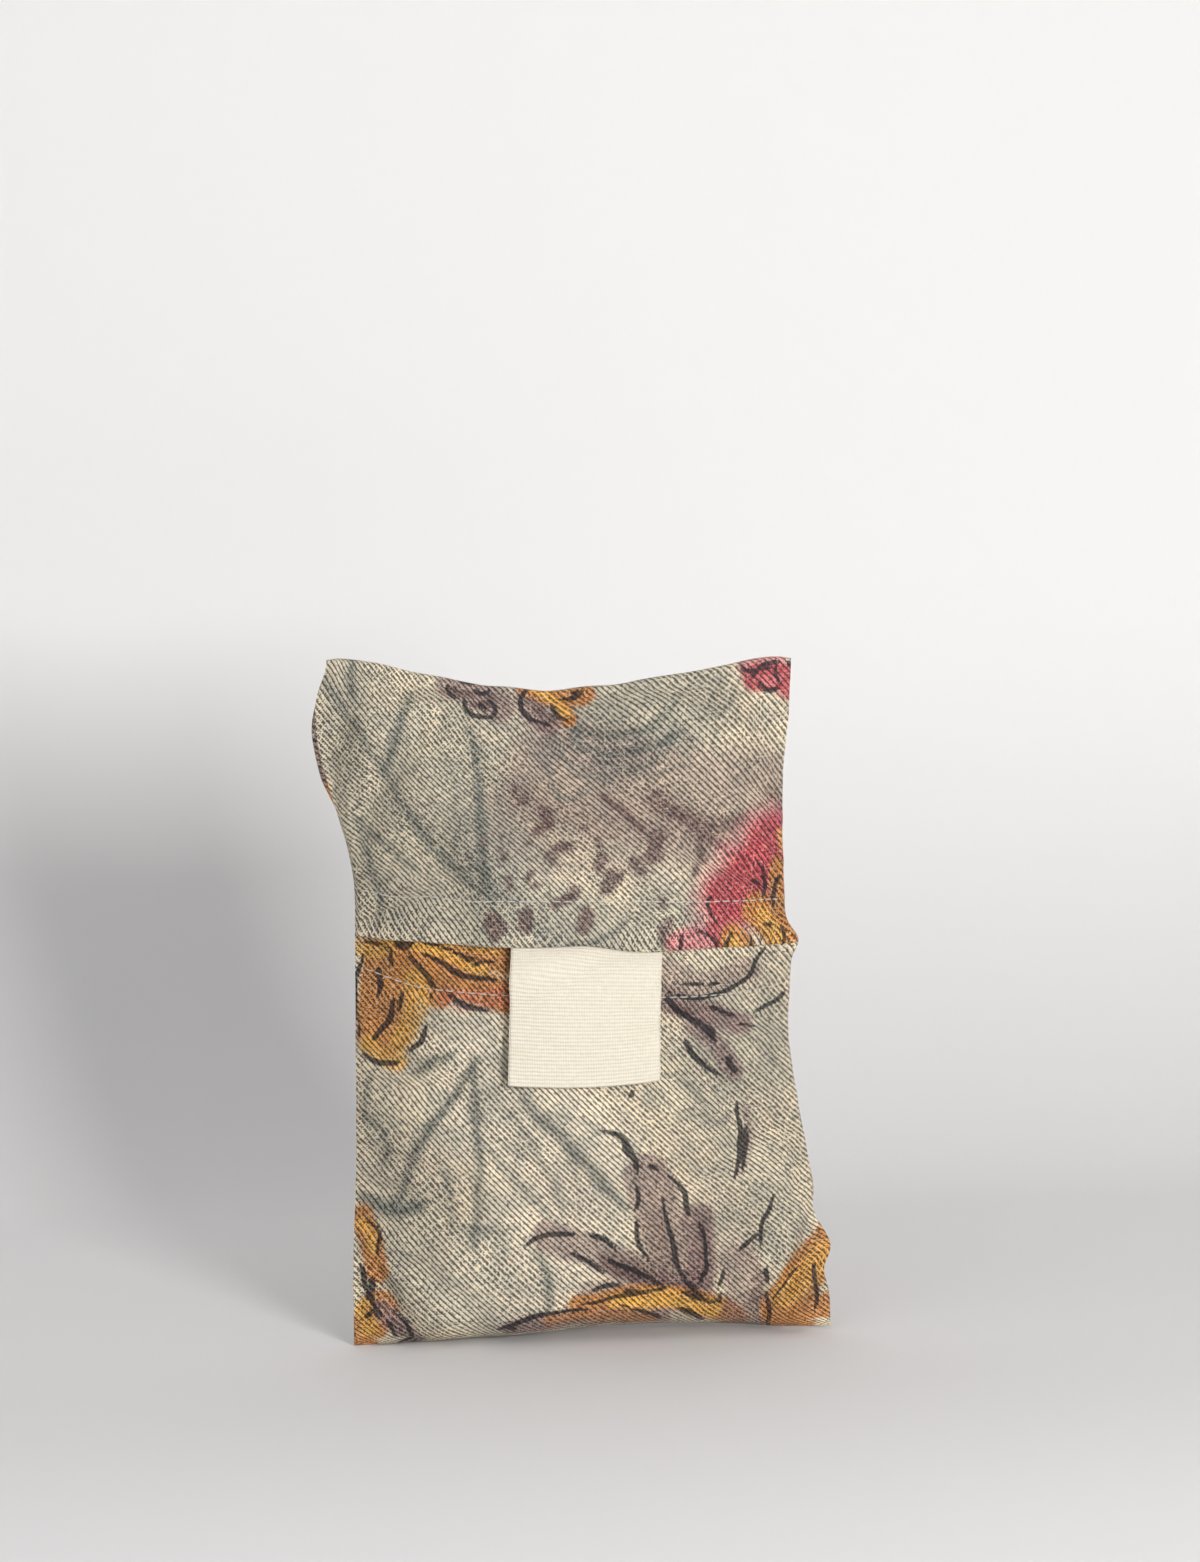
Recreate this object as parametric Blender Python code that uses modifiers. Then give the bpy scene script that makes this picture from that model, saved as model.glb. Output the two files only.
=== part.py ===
"""A reusable shopping bag, folded up inside its own sewn cloth pouch, which stands on its filled bottom.

Metres, +Z up, and the front with the flap faces -Y. The origin is on the floor under the middle.
The pouch is one strip of cloth: it starts in the hem of the flap, goes up the front, over the top fold,
down the back, under the bottom and up the front again to the hem of the pocket, behind the flap.
A place on the pouch is given by across, from -1 at the left seam to 1 at the right one, and by up,
from 0 on the floor to 1 at the top fold.
"""

import math

import bmesh
import bpy
from mathutils import Vector

MM = 0.001

# The pouch as it stands, filled
POUCH_WIDTH = 104.0 * MM
POUCH_HEIGHT = 147.0 * MM
FRONT_DEPTH = 15.4 * MM
BACK_DEPTH = 18.8 * MM
CLOTH = 0.4 * MM
LAYER_GAP = 0.3 * MM
CLEARANCE = 0.3 * MM
TOP_SAG = 6.6 * MM

# How far each side seam lies to the right of where a straight one would, as places up and lengths.
# The filling pulls the seams in, the corners stand out as ears, and the top leans to the left.
LEFT_SEAM = (
    (0.00, 3.2 * MM),
    (0.30, 4.6 * MM),
    (0.66, 4.6 * MM),
    (0.94, -4.2 * MM),
    (1.00, -4.3 * MM),
)
RIGHT_SEAM = (
    (0.00, 4.3 * MM),
    (0.52, -5.8 * MM),
    (0.80, -6.8 * MM),
    (1.00, -4.4 * MM),
)
SEAM_WELT = 0.25 * MM
SEAM_FLAT = 0.85
STEEPEST = 0.4
SEAM_STEP = 0.8 * MM
SEAM_STEP_ROWS = (-0.5, 0.25, 1.5)
SEAM_ROW_MARGIN = 0.015
SEAM_ACROSS = (0.974, 0.990)
SEAM_UP = (0.004, 0.992)

# How the filling rounds the pouch off towards its seams and folds
CORNER_SHARPNESS = 5.0
FILL_POWER = 2.4
FILL_FALL = 0.9
SAG_POWER = 2.0
WIDEST_UP = 0.48
FLOOR_PRESS = 0.15
BASE_ROUND = 0.6 * MM
BASE_SEAM_SHARE = 0.45
# The bottom rests flat within this place across and share of the depth, and its corners rise from there
REST_ACROSS = 0.6
REST_SHARE = 0.43
BOTTOM_RISE = 1.2 * MM

# The flap and the pocket
FLAP_HEM_HEIGHT = 84.0 * MM
FLAP_HEM_TILT = 2.0 * MM
FLAP_HEM_WIDTH = 9.5 * MM
FLAP_SETTLE = 22.0 * MM
LAP = 12.0 * MM
POCKET_HEM_WIDTH = 23.0 * MM

# The sewn label, a tape folded double
LABEL_WIDTH = 33.0 * MM
LABEL_DROP = 30.5 * MM
LABEL_TUCK = 7.0 * MM
LABEL_SIDE_SHIFT = 1.6 * MM
LABEL_TAPE = 0.4 * MM
LABEL_ROOM_FALL = 9.0 * MM
LABEL_ROOM_MARGIN = 0.35

# The sewing thread
THREAD = 0.4 * MM
STITCH = 2.4 * MM
STITCH_DIP = 0.12 * MM
STITCH_REACH_ACROSS = 0.965

# The shopping bag folded up inside, and its two handles
BAG_REACH_ACROSS = 0.80
BAG_TOP_UP = 0.88
BAG_FOLDS = 4
BAG_FOLD_DEPTH = 7.0 * MM
BAG_EASE = 0.9 * MM
STRAP_WIDTH = 22.0 * MM
STRAP_THICKNESS = 0.8 * MM
STRAP_SPACING = 42.0 * MM
STRAP_BOTTOM = 20.0 * MM
STRAP_LENGTH = 95.0 * MM
STRAP_EASE = 0.5 * MM

# Soft folds in the front: start and end as (across, up), half width and height
FRONT_FOLDS = (
    ((-0.98, 0.80), (-0.62, 0.99), 8.0 * MM, 1.5 * MM),
    ((0.40, 0.50), (0.98, 0.60), 9.0 * MM, 0.9 * MM),
    ((0.50, 0.02), (0.97, 0.24), 8.0 * MM, -2.0 * MM),
    ((-0.95, 0.22), (-0.55, 0.02), 8.0 * MM, -1.3 * MM),
)
BACK_FOLDS = (
    ((-0.97, 0.20), (-0.40, 0.04), 8.0 * MM, -1.6 * MM),
    ((0.30, 0.97), (0.97, 0.72), 8.0 * MM, 1.3 * MM),
)
FOLD_FADE = 4.0

FRONT, BACK = -1.0, 1.0

# How finely the cloth is divided
COLUMNS = 20
FLAP_ROWS = 11
BACK_ROWS = 17
POCKET_ROWS = 14
LEAF_ROWS = (2, 4)
TURN_DEGREES = (45.0, 90.0, 135.0)
SEAM_ROWS = 26
LABEL_GRID = (6, 7)
STRAP_GRID = (3, 9)
BAG_GRID = (10, 14)
FOLD_GAP_GRID = (8, 10)
PROBE = 0.02
WELD = 0.01 * MM


def clamp(value, low, high):
    return max(low, min(high, value))


def smooth_step(value):
    """0 below 0, 1 above 1, and an even curve between them."""
    share = clamp(value, 0.0, 1.0)
    return share * share * (3.0 - 2.0 * share)


def steps(first, last, count):
    """count + 1 values from first to last."""
    return [first + (last - first) * i / count for i in range(count + 1)]


def seam_columns(count, reach=1.0):
    """Places across that lie closer together towards the seams."""
    return [reach * math.sin(0.5 * math.pi * share) for share in steps(-1.0, 1.0, count)]


def fold_rows(first, last, count):
    """Places up that lie closer together towards both ends."""
    return [first + (last - first) * 0.5 * (1.0 - math.cos(math.pi * i / count)) for i in range(count + 1)]


# The outline of the pouch


def seam_shift(seam, up):
    """How far a side seam has shifted, in even curves between its given places."""
    for (low, low_x), (high, high_x) in zip(seam, seam[1:]):
        if up <= high:
            break
    return low_x + (high_x - low_x) * smooth_step((up - low) / (high - low))


def half_width(up):
    return (POUCH_WIDTH + seam_shift(RIGHT_SEAM, up) - seam_shift(LEFT_SEAM, up)) / 2.0


def middle_x(up):
    return (seam_shift(RIGHT_SEAM, up) + seam_shift(LEFT_SEAM, up)) / 2.0


def bottom_height(across):
    """The height of the bottom's cloth: flat on the floor in the middle, and risen at its corners."""
    return CLOTH / 2.0 + BOTTOM_RISE * max(0.0, abs(across) - REST_ACROSS) / (1.0 - REST_ACROSS)


def top_height(across):
    """Height of the top fold, which sags between its two ears."""
    return POUCH_HEIGHT - CLOTH - TOP_SAG * max(0.0, 1.0 - across * across) ** SAG_POWER


def fold_bump(across, up, folds):
    """How far the soft folds lift the cloth here."""
    here = Vector((across * POUCH_WIDTH / 2.0, up * POUCH_HEIGHT))
    total = 0.0
    for start, end, half, height in folds:
        a = Vector((start[0] * POUCH_WIDTH / 2.0, start[1] * POUCH_HEIGHT))
        b = Vector((end[0] * POUCH_WIDTH / 2.0, end[1] * POUCH_HEIGHT))
        along = clamp((here - a).dot(b - a) / (b - a).length_squared, 0.0, 1.0)
        distance = (here - a.lerp(b, along)).length / half
        total += height * math.exp(-distance * distance)
    return total


def filling(across, up):
    """1 where the pouch is thickest, and 0 at its seams and its top fold. The floor cuts the bottom off."""
    if up > WIDEST_UP:
        rise = (up - WIDEST_UP) / (1.0 - WIDEST_UP)
    else:
        rise = (WIDEST_UP - up) / (WIDEST_UP + FLOOR_PRESS)
    reach = (abs(across) ** CORNER_SHARPNESS + rise**CORNER_SHARPNESS) ** (1.0 / CORNER_SHARPNESS)
    return (1.0 - min(reach, 1.0) ** FILL_POWER) ** FILL_FALL


def half_depth(across, up, side):
    """How far the middle of the cloth lies in front of the seams, or behind them."""
    at_seam = CLOTH + LAYER_GAP
    full = filling(across, up)
    deepest = FRONT_DEPTH if side == FRONT else BACK_DEPTH
    folds = FRONT_FOLDS if side == FRONT else BACK_FOLDS
    return at_seam + (deepest - at_seam) * full + fold_bump(across, up, folds) * min(1.0, FOLD_FADE * full)


def pouch_point(across, up, side):
    """The middle of the cloth's thickness at a place on the front or back."""
    return Vector(
        (
            middle_x(up) + across * half_width(up),
            side * half_depth(across, up, side),
            bottom_height(across) + (top_height(across) - bottom_height(across)) * up,
        )
    )


def on_pouch(across, up, side=FRONT, out=0.0, along=0.0):
    """A point that stands out from the middle of the cloth, and is moved up along it."""
    left, right = max(-1.0, across - PROBE), min(1.0, across + PROBE)
    low, high = max(0.0, up - PROBE), min(1.0, up + PROBE)
    sideways = pouch_point(right, up, side) - pouch_point(left, up, side)
    upwards = (pouch_point(across, high, side) - pouch_point(across, low, side)).normalized()
    outwards = sideways.cross(upwards).normalized() * -side
    at_seam = smooth_step((abs(across) - SEAM_FLAT) / (1.0 - SEAM_FLAT))
    forwards = Vector((0.0, side / max(abs(outwards.y), STEEPEST), 0.0))
    outwards = outwards.lerp(forwards, at_seam)
    return pouch_point(across, up, side) + outwards * out + upwards * along


def up_at(across, height):
    """The place up at which the pouch has this height."""
    return (height - bottom_height(across)) / (top_height(across) - bottom_height(across))


def across_at(x, up):
    """The place across at which the pouch has this x."""
    return (x - middle_x(up)) / half_width(up)


# Heights of the hems, and how far each layer stands out from the pocket's cloth


def flap_hem(across):
    return FLAP_HEM_HEIGHT - FLAP_HEM_TILT * across


def pocket_hem(across):
    return flap_hem(across) + LAP


def thread_stack():
    """How far the stitches stand out from the face of the cloth."""
    return CLEARANCE + THREAD + STITCH_DIP


def label_inner():
    """The label's inner layer hangs in front of the pocket's stitches."""
    return CLOTH / 2.0 + thread_stack() + CLEARANCE + LABEL_TAPE / 2.0


def label_outer():
    return label_inner() + LABEL_TAPE + LAYER_GAP


def label_room(across):
    """1 under the flap where it rests on the label, and 0 some way beyond the label's two sides."""
    up = up_at(across, FLAP_HEM_HEIGHT)
    beyond = abs(middle_x(up) + across * half_width(up) - LABEL_SIDE_SHIFT) - LABEL_WIDTH / 2.0
    return 1.0 - smooth_step(beyond / LABEL_ROOM_FALL - LABEL_ROOM_MARGIN)


def flap_leaf_out(across):
    """The turned-in leaf of the flap's hem lies on the pocket, or on the label."""
    on_pocket = CLOTH + CLEARANCE
    on_label = label_outer() + LABEL_TAPE / 2.0 + CLEARANCE + CLOTH / 2.0
    return on_pocket + (on_label - on_pocket) * label_room(across)


def flap_out(across, height):
    """The flap's outer layer lies on the hem's leaf, and settles onto the filling above the pocket's edge."""
    settled = smooth_step((height - pocket_hem(across) - FLAP_HEM_WIDTH / 2.0) / FLAP_SETTLE)
    return (flap_leaf_out(across) + CLOTH + LAYER_GAP) * (1.0 - settled)


def leaf_in():
    """The turned-in leaf of the pocket's hem lies behind the pocket."""
    return -(CLOTH + LAYER_GAP)


# Objects


def material(name, colour, roughness):
    made = bpy.data.materials.new(name)
    made.use_nodes = True
    shader = made.node_tree.nodes["Principled BSDF"]
    shader.inputs["Base Color"].default_value = (*colour, 1.0)
    shader.inputs["Roughness"].default_value = roughness
    shader.inputs["Metallic"].default_value = 0.0
    return made


def add_object(name, data, finish, collection):
    made = bpy.data.objects.new(name, data)
    if finish is not None:
        data.materials.append(finish)
    collection.objects.link(made)
    return made


def shaded_mesh(name, bm):
    mesh = bpy.data.meshes.new(name)
    bm.to_mesh(mesh)
    bm.free()
    mesh.shade_smooth()
    mesh.set_sharp_from_angle(angle=math.radians(50.0))
    return mesh


def shaped_grid(bm, columns, rows, place):
    """Lays a grid of columns by rows, and moves each of its points to place(column, row, z)."""
    last_column, last_row = len(columns) - 1, len(rows) - 1
    for vertex in bm.verts:
        column = columns[round((vertex.co.x + 1.0) / 2.0 * last_column)]
        row = rows[round((vertex.co.y + 1.0) / 2.0 * last_row)]
        vertex.co = place(column, row, vertex.co.z)


def cloth_object(name, columns, rows, thickness, finish, collection):
    """One layer of cloth: each row is a function that gives the point at a place across."""
    bm = bmesh.new()
    bmesh.ops.create_grid(bm, x_segments=len(columns) - 1, y_segments=len(rows) - 1, size=1.0)
    shaped_grid(bm, columns, rows, lambda across, row, _: row(across))
    made = add_object(name, shaded_mesh(name, bm), finish, collection)
    solidify = made.modifiers.new("Thickness", "SOLIDIFY")
    solidify.thickness = thickness
    solidify.offset = 0.0
    return made


def block_object(name, columns, rows, front, back, finish, collection):
    """A closed block between two sheets, front(column, row) and back(column, row)."""
    bm = bmesh.new()
    bmesh.ops.create_grid(bm, x_segments=len(columns) - 1, y_segments=len(rows) - 1, size=1.0)
    bmesh.ops.solidify(bm, geom=bm.faces[:], thickness=1.0)
    low = min(vertex.co.z for vertex in bm.verts)
    shaped_grid(bm, columns, rows, lambda column, row, z: (front if z < low + 0.5 else back)(column, row))
    bmesh.ops.recalc_face_normals(bm, faces=bm.faces[:])
    return add_object(name, shaded_mesh(name, bm), finish, collection)


def boolean(target, other, operation):
    modifier = target.modifiers.new(other.name, "BOOLEAN")
    modifier.operation = operation
    modifier.object = other


def as_helper(made):
    """A cutter or joiner isn't part of the object."""
    made.hide_render = True
    made.display_type = "WIRE"
    return made


# The pouch


def turn(radius, degrees):
    """Out and along of a point on the half turn of a hem, which starts on the outer layer."""
    angle = math.radians(degrees)
    return radius * (math.cos(angle) - 1.0), radius * math.sin(angle)


def flap_row(share):
    """A row of the flap, from its hem at 0 to the top fold at 1."""

    def place(across):
        low = up_at(across, flap_hem(across))
        up = low + (1.0 - low) * share
        height = pouch_point(across, up, FRONT).z
        return on_pouch(across, up, FRONT, flap_out(across, height))

    return place


def flap_turn_row(degrees):
    def place(across):
        out, along = turn((CLOTH + LAYER_GAP) / 2.0, degrees)
        outer = flap_leaf_out(across) + CLOTH + LAYER_GAP
        return on_pouch(across, up_at(across, flap_hem(across)), FRONT, outer + out, -along)

    return place


def flap_leaf_row(share):
    """A row of the flap's hem leaf, from the hem at 0 to its free edge at 1."""

    def place(across):
        height = flap_hem(across) + FLAP_HEM_WIDTH * share
        return on_pouch(across, up_at(across, height), FRONT, flap_leaf_out(across))

    return place


def crown_row():
    """The very top of the top fold."""

    def place(across):
        return Vector((pouch_point(across, 1.0, FRONT).x, 0.0, top_height(across) + CLOTH / 2.0))

    return place


def back_row(up):
    return lambda across: on_pouch(across, up, BACK)


def base_edge_row(side):
    """A row of the flat bottom close to its rounded edge at the back or the front."""

    def place(across):
        edge = pouch_point(across, 0.0, side)
        deepest = FRONT_DEPTH if side == FRONT else BACK_DEPTH
        inset = max(min(BASE_ROUND, BASE_SEAM_SHARE * abs(edge.y)), abs(edge.y) - REST_SHARE * deepest)
        return Vector((edge.x, edge.y - side * inset, edge.z))

    return place


def base_middle_row(across):
    edge = pouch_point(across, 0.0, FRONT)
    return Vector((edge.x, 0.0, edge.z))


def pocket_row(share):
    """A row of the pocket, from the floor at 0 to the pocket's hem at 1."""
    return lambda across: on_pouch(across, up_at(across, pocket_hem(across)) * share, FRONT)


def pocket_turn_row(degrees):
    def place(across):
        out, along = turn((CLOTH + LAYER_GAP) / 2.0, degrees)
        return on_pouch(across, up_at(across, pocket_hem(across)), FRONT, out, along)

    return place


def pocket_leaf_row(share):
    """A row of the pocket's hem leaf, from the hem at 0 to its free edge at 1."""

    def place(across):
        height = pocket_hem(across) - POCKET_HEM_WIDTH * share
        return on_pouch(across, up_at(across, height), FRONT, leaf_in())

    return place


def pouch_rows():
    rows = [flap_leaf_row(share) for share in steps(1.0, 0.0, LEAF_ROWS[0])]
    rows += [flap_turn_row(degrees) for degrees in reversed(TURN_DEGREES)]
    rows += [flap_row(share) for share in fold_rows(0.0, 1.0, FLAP_ROWS)]
    rows += [crown_row()]
    rows += [back_row(up) for up in fold_rows(1.0, 0.0, BACK_ROWS)]
    rows += [base_edge_row(BACK), base_middle_row, base_edge_row(FRONT)]
    rows += [pocket_row(share) for share in fold_rows(0.0, 1.0, POCKET_ROWS)]
    rows += [pocket_turn_row(degrees) for degrees in TURN_DEGREES]
    rows += [pocket_leaf_row(share) for share in steps(0.0, 1.0, LEAF_ROWS[1])]
    return rows


def side_seam(name, side, collection):
    """Joins the layers along one side, as the seam does, and stands out from them as a thin welt."""
    out = CLOTH / 2.0 + SEAM_WELT
    columns = [side * place for place in SEAM_ACROSS]

    def front(across, up):
        height = pouch_point(across, up, FRONT).z
        lapped = smooth_step((height - flap_hem(across)) / SEAM_STEP)
        return on_pouch(across, up, FRONT, out + flap_out(across, height) * lapped)

    def back(across, up):
        return on_pouch(across, up, BACK, out)

    hem_rows = [up_at(side, flap_hem(side) + step * SEAM_STEP) for step in SEAM_STEP_ROWS]
    even_rows = fold_rows(*SEAM_UP, SEAM_ROWS)
    clear = [up for up in even_rows if abs(up - hem_rows[1]) > SEAM_ROW_MARGIN]
    rows = sorted(clear + hem_rows)
    return as_helper(block_object(name, columns, rows, front, back, None, collection))


def pouch(parts, helpers):
    finish = material("printed_cloth", (0.53, 0.49, 0.40), 0.62)
    made = cloth_object("pouch_cloth", seam_columns(COLUMNS), pouch_rows(), CLOTH, finish, parts)
    for name, side in (("left_side_seam", -1.0), ("right_side_seam", 1.0)):
        boolean(made, side_seam(name, side, helpers), "UNION")
    return made


# The label and the threads


def label_point(share, drop, layer_out, along=0.0):
    """share runs from -1 to 1 over the label's width, and drop is measured down from its tucked end."""
    height = FLAP_HEM_HEIGHT + LABEL_TUCK - drop
    x = LABEL_SIDE_SHIFT + share * LABEL_WIDTH / 2.0
    across = across_at(x, up_at(0.0, height))
    return on_pouch(across, up_at(across, height), FRONT, layer_out, along)


def label(parts):
    """A tape folded double at its lower end, whose two ends are caught in the flap's hem."""
    inner, outer = label_inner(), label_outer()
    radius = (outer - inner) / 2.0
    length = LABEL_TUCK + LABEL_DROP

    def straight(drop, out):
        return lambda share: label_point(share, drop, out)

    def bend(degrees):
        out, along = turn(radius, degrees)
        return lambda share: label_point(share, length, outer + out, -along)

    columns, drops = LABEL_GRID
    rows = [straight(drop, outer) for drop in steps(0.0, length, drops)]
    rows += [bend(degrees) for degrees in TURN_DEGREES]
    rows += [straight(drop, inner) for drop in steps(length, 0.0, drops)]
    finish = material("label_tape", (0.86, 0.82, 0.72), 0.8)
    return cloth_object("sewn_label", steps(-1.0, 1.0, columns), rows, LABEL_TAPE, finish, parts)


def thread(name, height_at, out_at, parts, finish):
    """A row of stitches: a thin thread that dips towards the cloth at each needle hole."""
    reach = STITCH_REACH_ACROSS
    count = 2 * round(reach * POUCH_WIDTH / STITCH)
    curve = bpy.data.curves.new(name, "CURVE")
    curve.dimensions = "3D"
    curve.bevel_depth = THREAD / 2.0
    curve.bevel_resolution = 0
    curve.use_fill_caps = True
    spline = curve.splines.new("POLY")
    spline.points.add(count)
    for i, point in enumerate(spline.points):
        across = reach * (2.0 * i / count - 1.0)
        lift = THREAD / 2.0 + CLEARANCE + (STITCH_DIP if i % 2 else 0.0)
        up = up_at(across, height_at(across))
        point.co = (*on_pouch(across, up, FRONT, out_at(across) + CLOTH / 2.0 + lift), 1.0)
    made = add_object(name, curve, finish, parts)
    made.modifiers.new("Closed ends", "WELD").merge_threshold = WELD
    return made


def threads(parts):
    finish = material("sewing_thread", (0.86, 0.84, 0.80), 0.5)

    def flap_line(across):
        return flap_hem(across) + FLAP_HEM_WIDTH - STITCH / 2.0

    def pocket_line(across):
        return pocket_hem(across) - POCKET_HEM_WIDTH + STITCH / 2.0

    thread("flap_hem_thread", flap_line, lambda across: flap_out(across, flap_line(across)), parts, finish)
    thread("pocket_hem_thread", pocket_line, lambda across: 0.0, parts, finish)


# What the pouch holds


def strap_stack():
    """Room that a folded handle takes between the pouch and the folded bag."""
    return 2.0 * STRAP_THICKNESS + LAYER_GAP + CLEARANCE + 2.0 * STRAP_EASE


def lining_in():
    """How far the innermost face of the pouch's front lies behind the middle of its cloth."""
    return leaf_in() - CLOTH / 2.0


def bag_front(across, up):
    return on_pouch(across, up, FRONT, lining_in() - CLEARANCE - strap_stack())


def bag_back(across, up):
    return on_pouch(across, up, BACK, -(CLOTH / 2.0 + BAG_EASE))


def fold_gap(name, number, helpers):
    """The gap between two layers of the folded bag, open at the top and at the bottom by turns."""
    share = number / BAG_FOLDS
    bottom = up_at(0.0, CLOTH + CLEARANCE)
    depth = BAG_FOLD_DEPTH / POUCH_HEIGHT
    opens_at_top = number % 2 == 1
    first = bottom + depth if opens_at_top else 0.0
    last = BAG_TOP_UP + depth if opens_at_top else BAG_TOP_UP - depth

    def sheet(shift):
        def place(across, up):
            middle = bag_front(across, up).lerp(bag_back(across, up), share)
            return middle + Vector((0.0, shift * LAYER_GAP / 2.0, 0.0))

        return place

    reach = (1.0 + BAG_REACH_ACROSS) / 2.0
    columns = steps(-reach, reach, FOLD_GAP_GRID[0])
    rows = steps(first, last, FOLD_GAP_GRID[1])
    return as_helper(block_object(name, columns, rows, sheet(-1.0), sheet(1.0), None, helpers))


def folded_bag(parts, helpers):
    """The bag's cloth, folded to and fro into one flat packet."""
    columns = steps(-BAG_REACH_ACROSS, BAG_REACH_ACROSS, BAG_GRID[0])
    rows = fold_rows(up_at(0.0, 2.0 * CLOTH + BAG_EASE / 2.0), BAG_TOP_UP, BAG_GRID[1])
    finish = material("bag_cloth", (0.50, 0.46, 0.39), 0.65)
    made = block_object("folded_bag", columns, rows, bag_front, bag_back, finish, parts)
    for number in range(1, BAG_FOLDS):
        boolean(made, fold_gap(f"bag_fold_gap_{number}", number, helpers), "DIFFERENCE")
    return made


def handle(name, strap_x, parts, finish):
    """A strap folded double, so that its loop lies down the front of the folded bag."""
    outer = lining_in() - CLEARANCE - STRAP_EASE - STRAP_THICKNESS / 2.0
    inner = outer - STRAP_THICKNESS - LAYER_GAP
    radius = (outer - inner) / 2.0

    def place(height, out, along=0.0):
        up = up_at(0.0, height)

        def point(share):
            across = across_at(strap_x + share * STRAP_WIDTH / 2.0, up)
            return on_pouch(across, up, FRONT, out, along)

        return point

    def bend(degrees):
        out, along = turn(radius, degrees)
        return place(STRAP_BOTTOM, outer + out, -along)

    top = STRAP_BOTTOM + STRAP_LENGTH
    columns, heights = STRAP_GRID
    rows = [place(height, outer) for height in steps(top, STRAP_BOTTOM, heights)]
    rows += [bend(degrees) for degrees in TURN_DEGREES]
    rows += [place(height, inner) for height in steps(STRAP_BOTTOM, top, heights)]
    return cloth_object(name, steps(-1.0, 1.0, columns), rows, STRAP_THICKNESS, finish, parts)


def handles(parts):
    finish = material("handle_strap", (0.45, 0.42, 0.36), 0.65)
    handle("bag_handle_left", -STRAP_SPACING / 2.0, parts, finish)
    handle("bag_handle_right", STRAP_SPACING / 2.0, parts, finish)


def main():
    for old in list(bpy.data.objects):
        bpy.data.objects.remove(old)
    parts = bpy.data.collections.new("shopping_bag_in_pouch")
    helpers = bpy.data.collections.new("helpers")
    for collection in (parts, helpers):
        bpy.context.scene.collection.children.link(collection)
    pouch(parts, helpers)
    label(parts)
    threads(parts)
    folded_bag(parts, helpers)
    handles(parts)


main()
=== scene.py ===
import math

import bpy
import numpy as np
from mathutils import Matrix, Vector
from mathutils.bvhtree import BVHTree

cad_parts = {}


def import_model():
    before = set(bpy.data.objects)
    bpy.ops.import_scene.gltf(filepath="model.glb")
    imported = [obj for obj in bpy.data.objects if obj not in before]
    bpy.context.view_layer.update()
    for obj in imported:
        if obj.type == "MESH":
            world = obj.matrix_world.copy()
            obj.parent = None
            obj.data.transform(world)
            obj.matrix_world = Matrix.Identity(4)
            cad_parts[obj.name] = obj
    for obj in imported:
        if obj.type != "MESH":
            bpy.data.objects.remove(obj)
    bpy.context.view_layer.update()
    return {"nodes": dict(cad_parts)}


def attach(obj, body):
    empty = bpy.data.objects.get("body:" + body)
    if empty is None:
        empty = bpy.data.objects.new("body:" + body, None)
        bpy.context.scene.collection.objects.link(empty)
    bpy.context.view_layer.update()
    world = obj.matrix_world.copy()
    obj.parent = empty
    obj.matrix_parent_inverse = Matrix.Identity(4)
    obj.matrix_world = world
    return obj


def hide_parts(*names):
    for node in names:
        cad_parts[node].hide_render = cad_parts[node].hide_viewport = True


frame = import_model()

# The pouch's form, in millimetres and shares: -X left, -Y front, +Z up
FRONT = -1
BACK = 1
MM = 0.001
POUCH_WIDTH = 104.0
POUCH_HEIGHT = 147.0
FRONT_DEPTH = 15.4
BACK_DEPTH = 18.8
CLOTH = 0.4
LAYER_GAP = 0.3
TOP_SAG = 6.6
# Each seam's shift from half the pouch's width, as (place up, shift)
LEFT_SEAM = ((0.0, 3.2), (0.30, 4.6), (0.66, 4.6), (0.94, -4.2), (1.0, -4.3))
RIGHT_SEAM = ((0.0, 4.3), (0.52, -5.8), (0.80, -6.8), (1.0, -4.4))
CORNER_SHARPNESS = 5.0
FILL_POWER = 2.4
FILL_FALL = 0.9
SAG_POWER = 2.0
WIDEST_UP = 0.48
FLOOR_PRESS = 0.15
SEAM_HALF = 0.02
CROWN_HALF = 0.7
SEAM_FADE = 1.6
FOLD_FADE = 4.0
PROBE = 0.004
PUCKER_DEPTH = 0.45
PUCKER_REACH = 4.0
FLAP_HEM = 87.4
FLAP_HEM_TILT = 1.6
FLAP_HEM_WIDTH = 9.5
FLAP_SETTLE = 22.0
LAP = 12.0
POCKET_HEM_WIDTH = 23.0
LABEL_WIDTH = 31.4
LABEL_DROP = 28.4
LABEL_TUCK = 7.0
LABEL_TAPE = 0.4
LABEL_INNER = 1.52
LABEL_ROOM_FALL = 9.0
LABEL_ROOM_MARGIN = 0.35
ON_POCKET = 0.7

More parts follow.
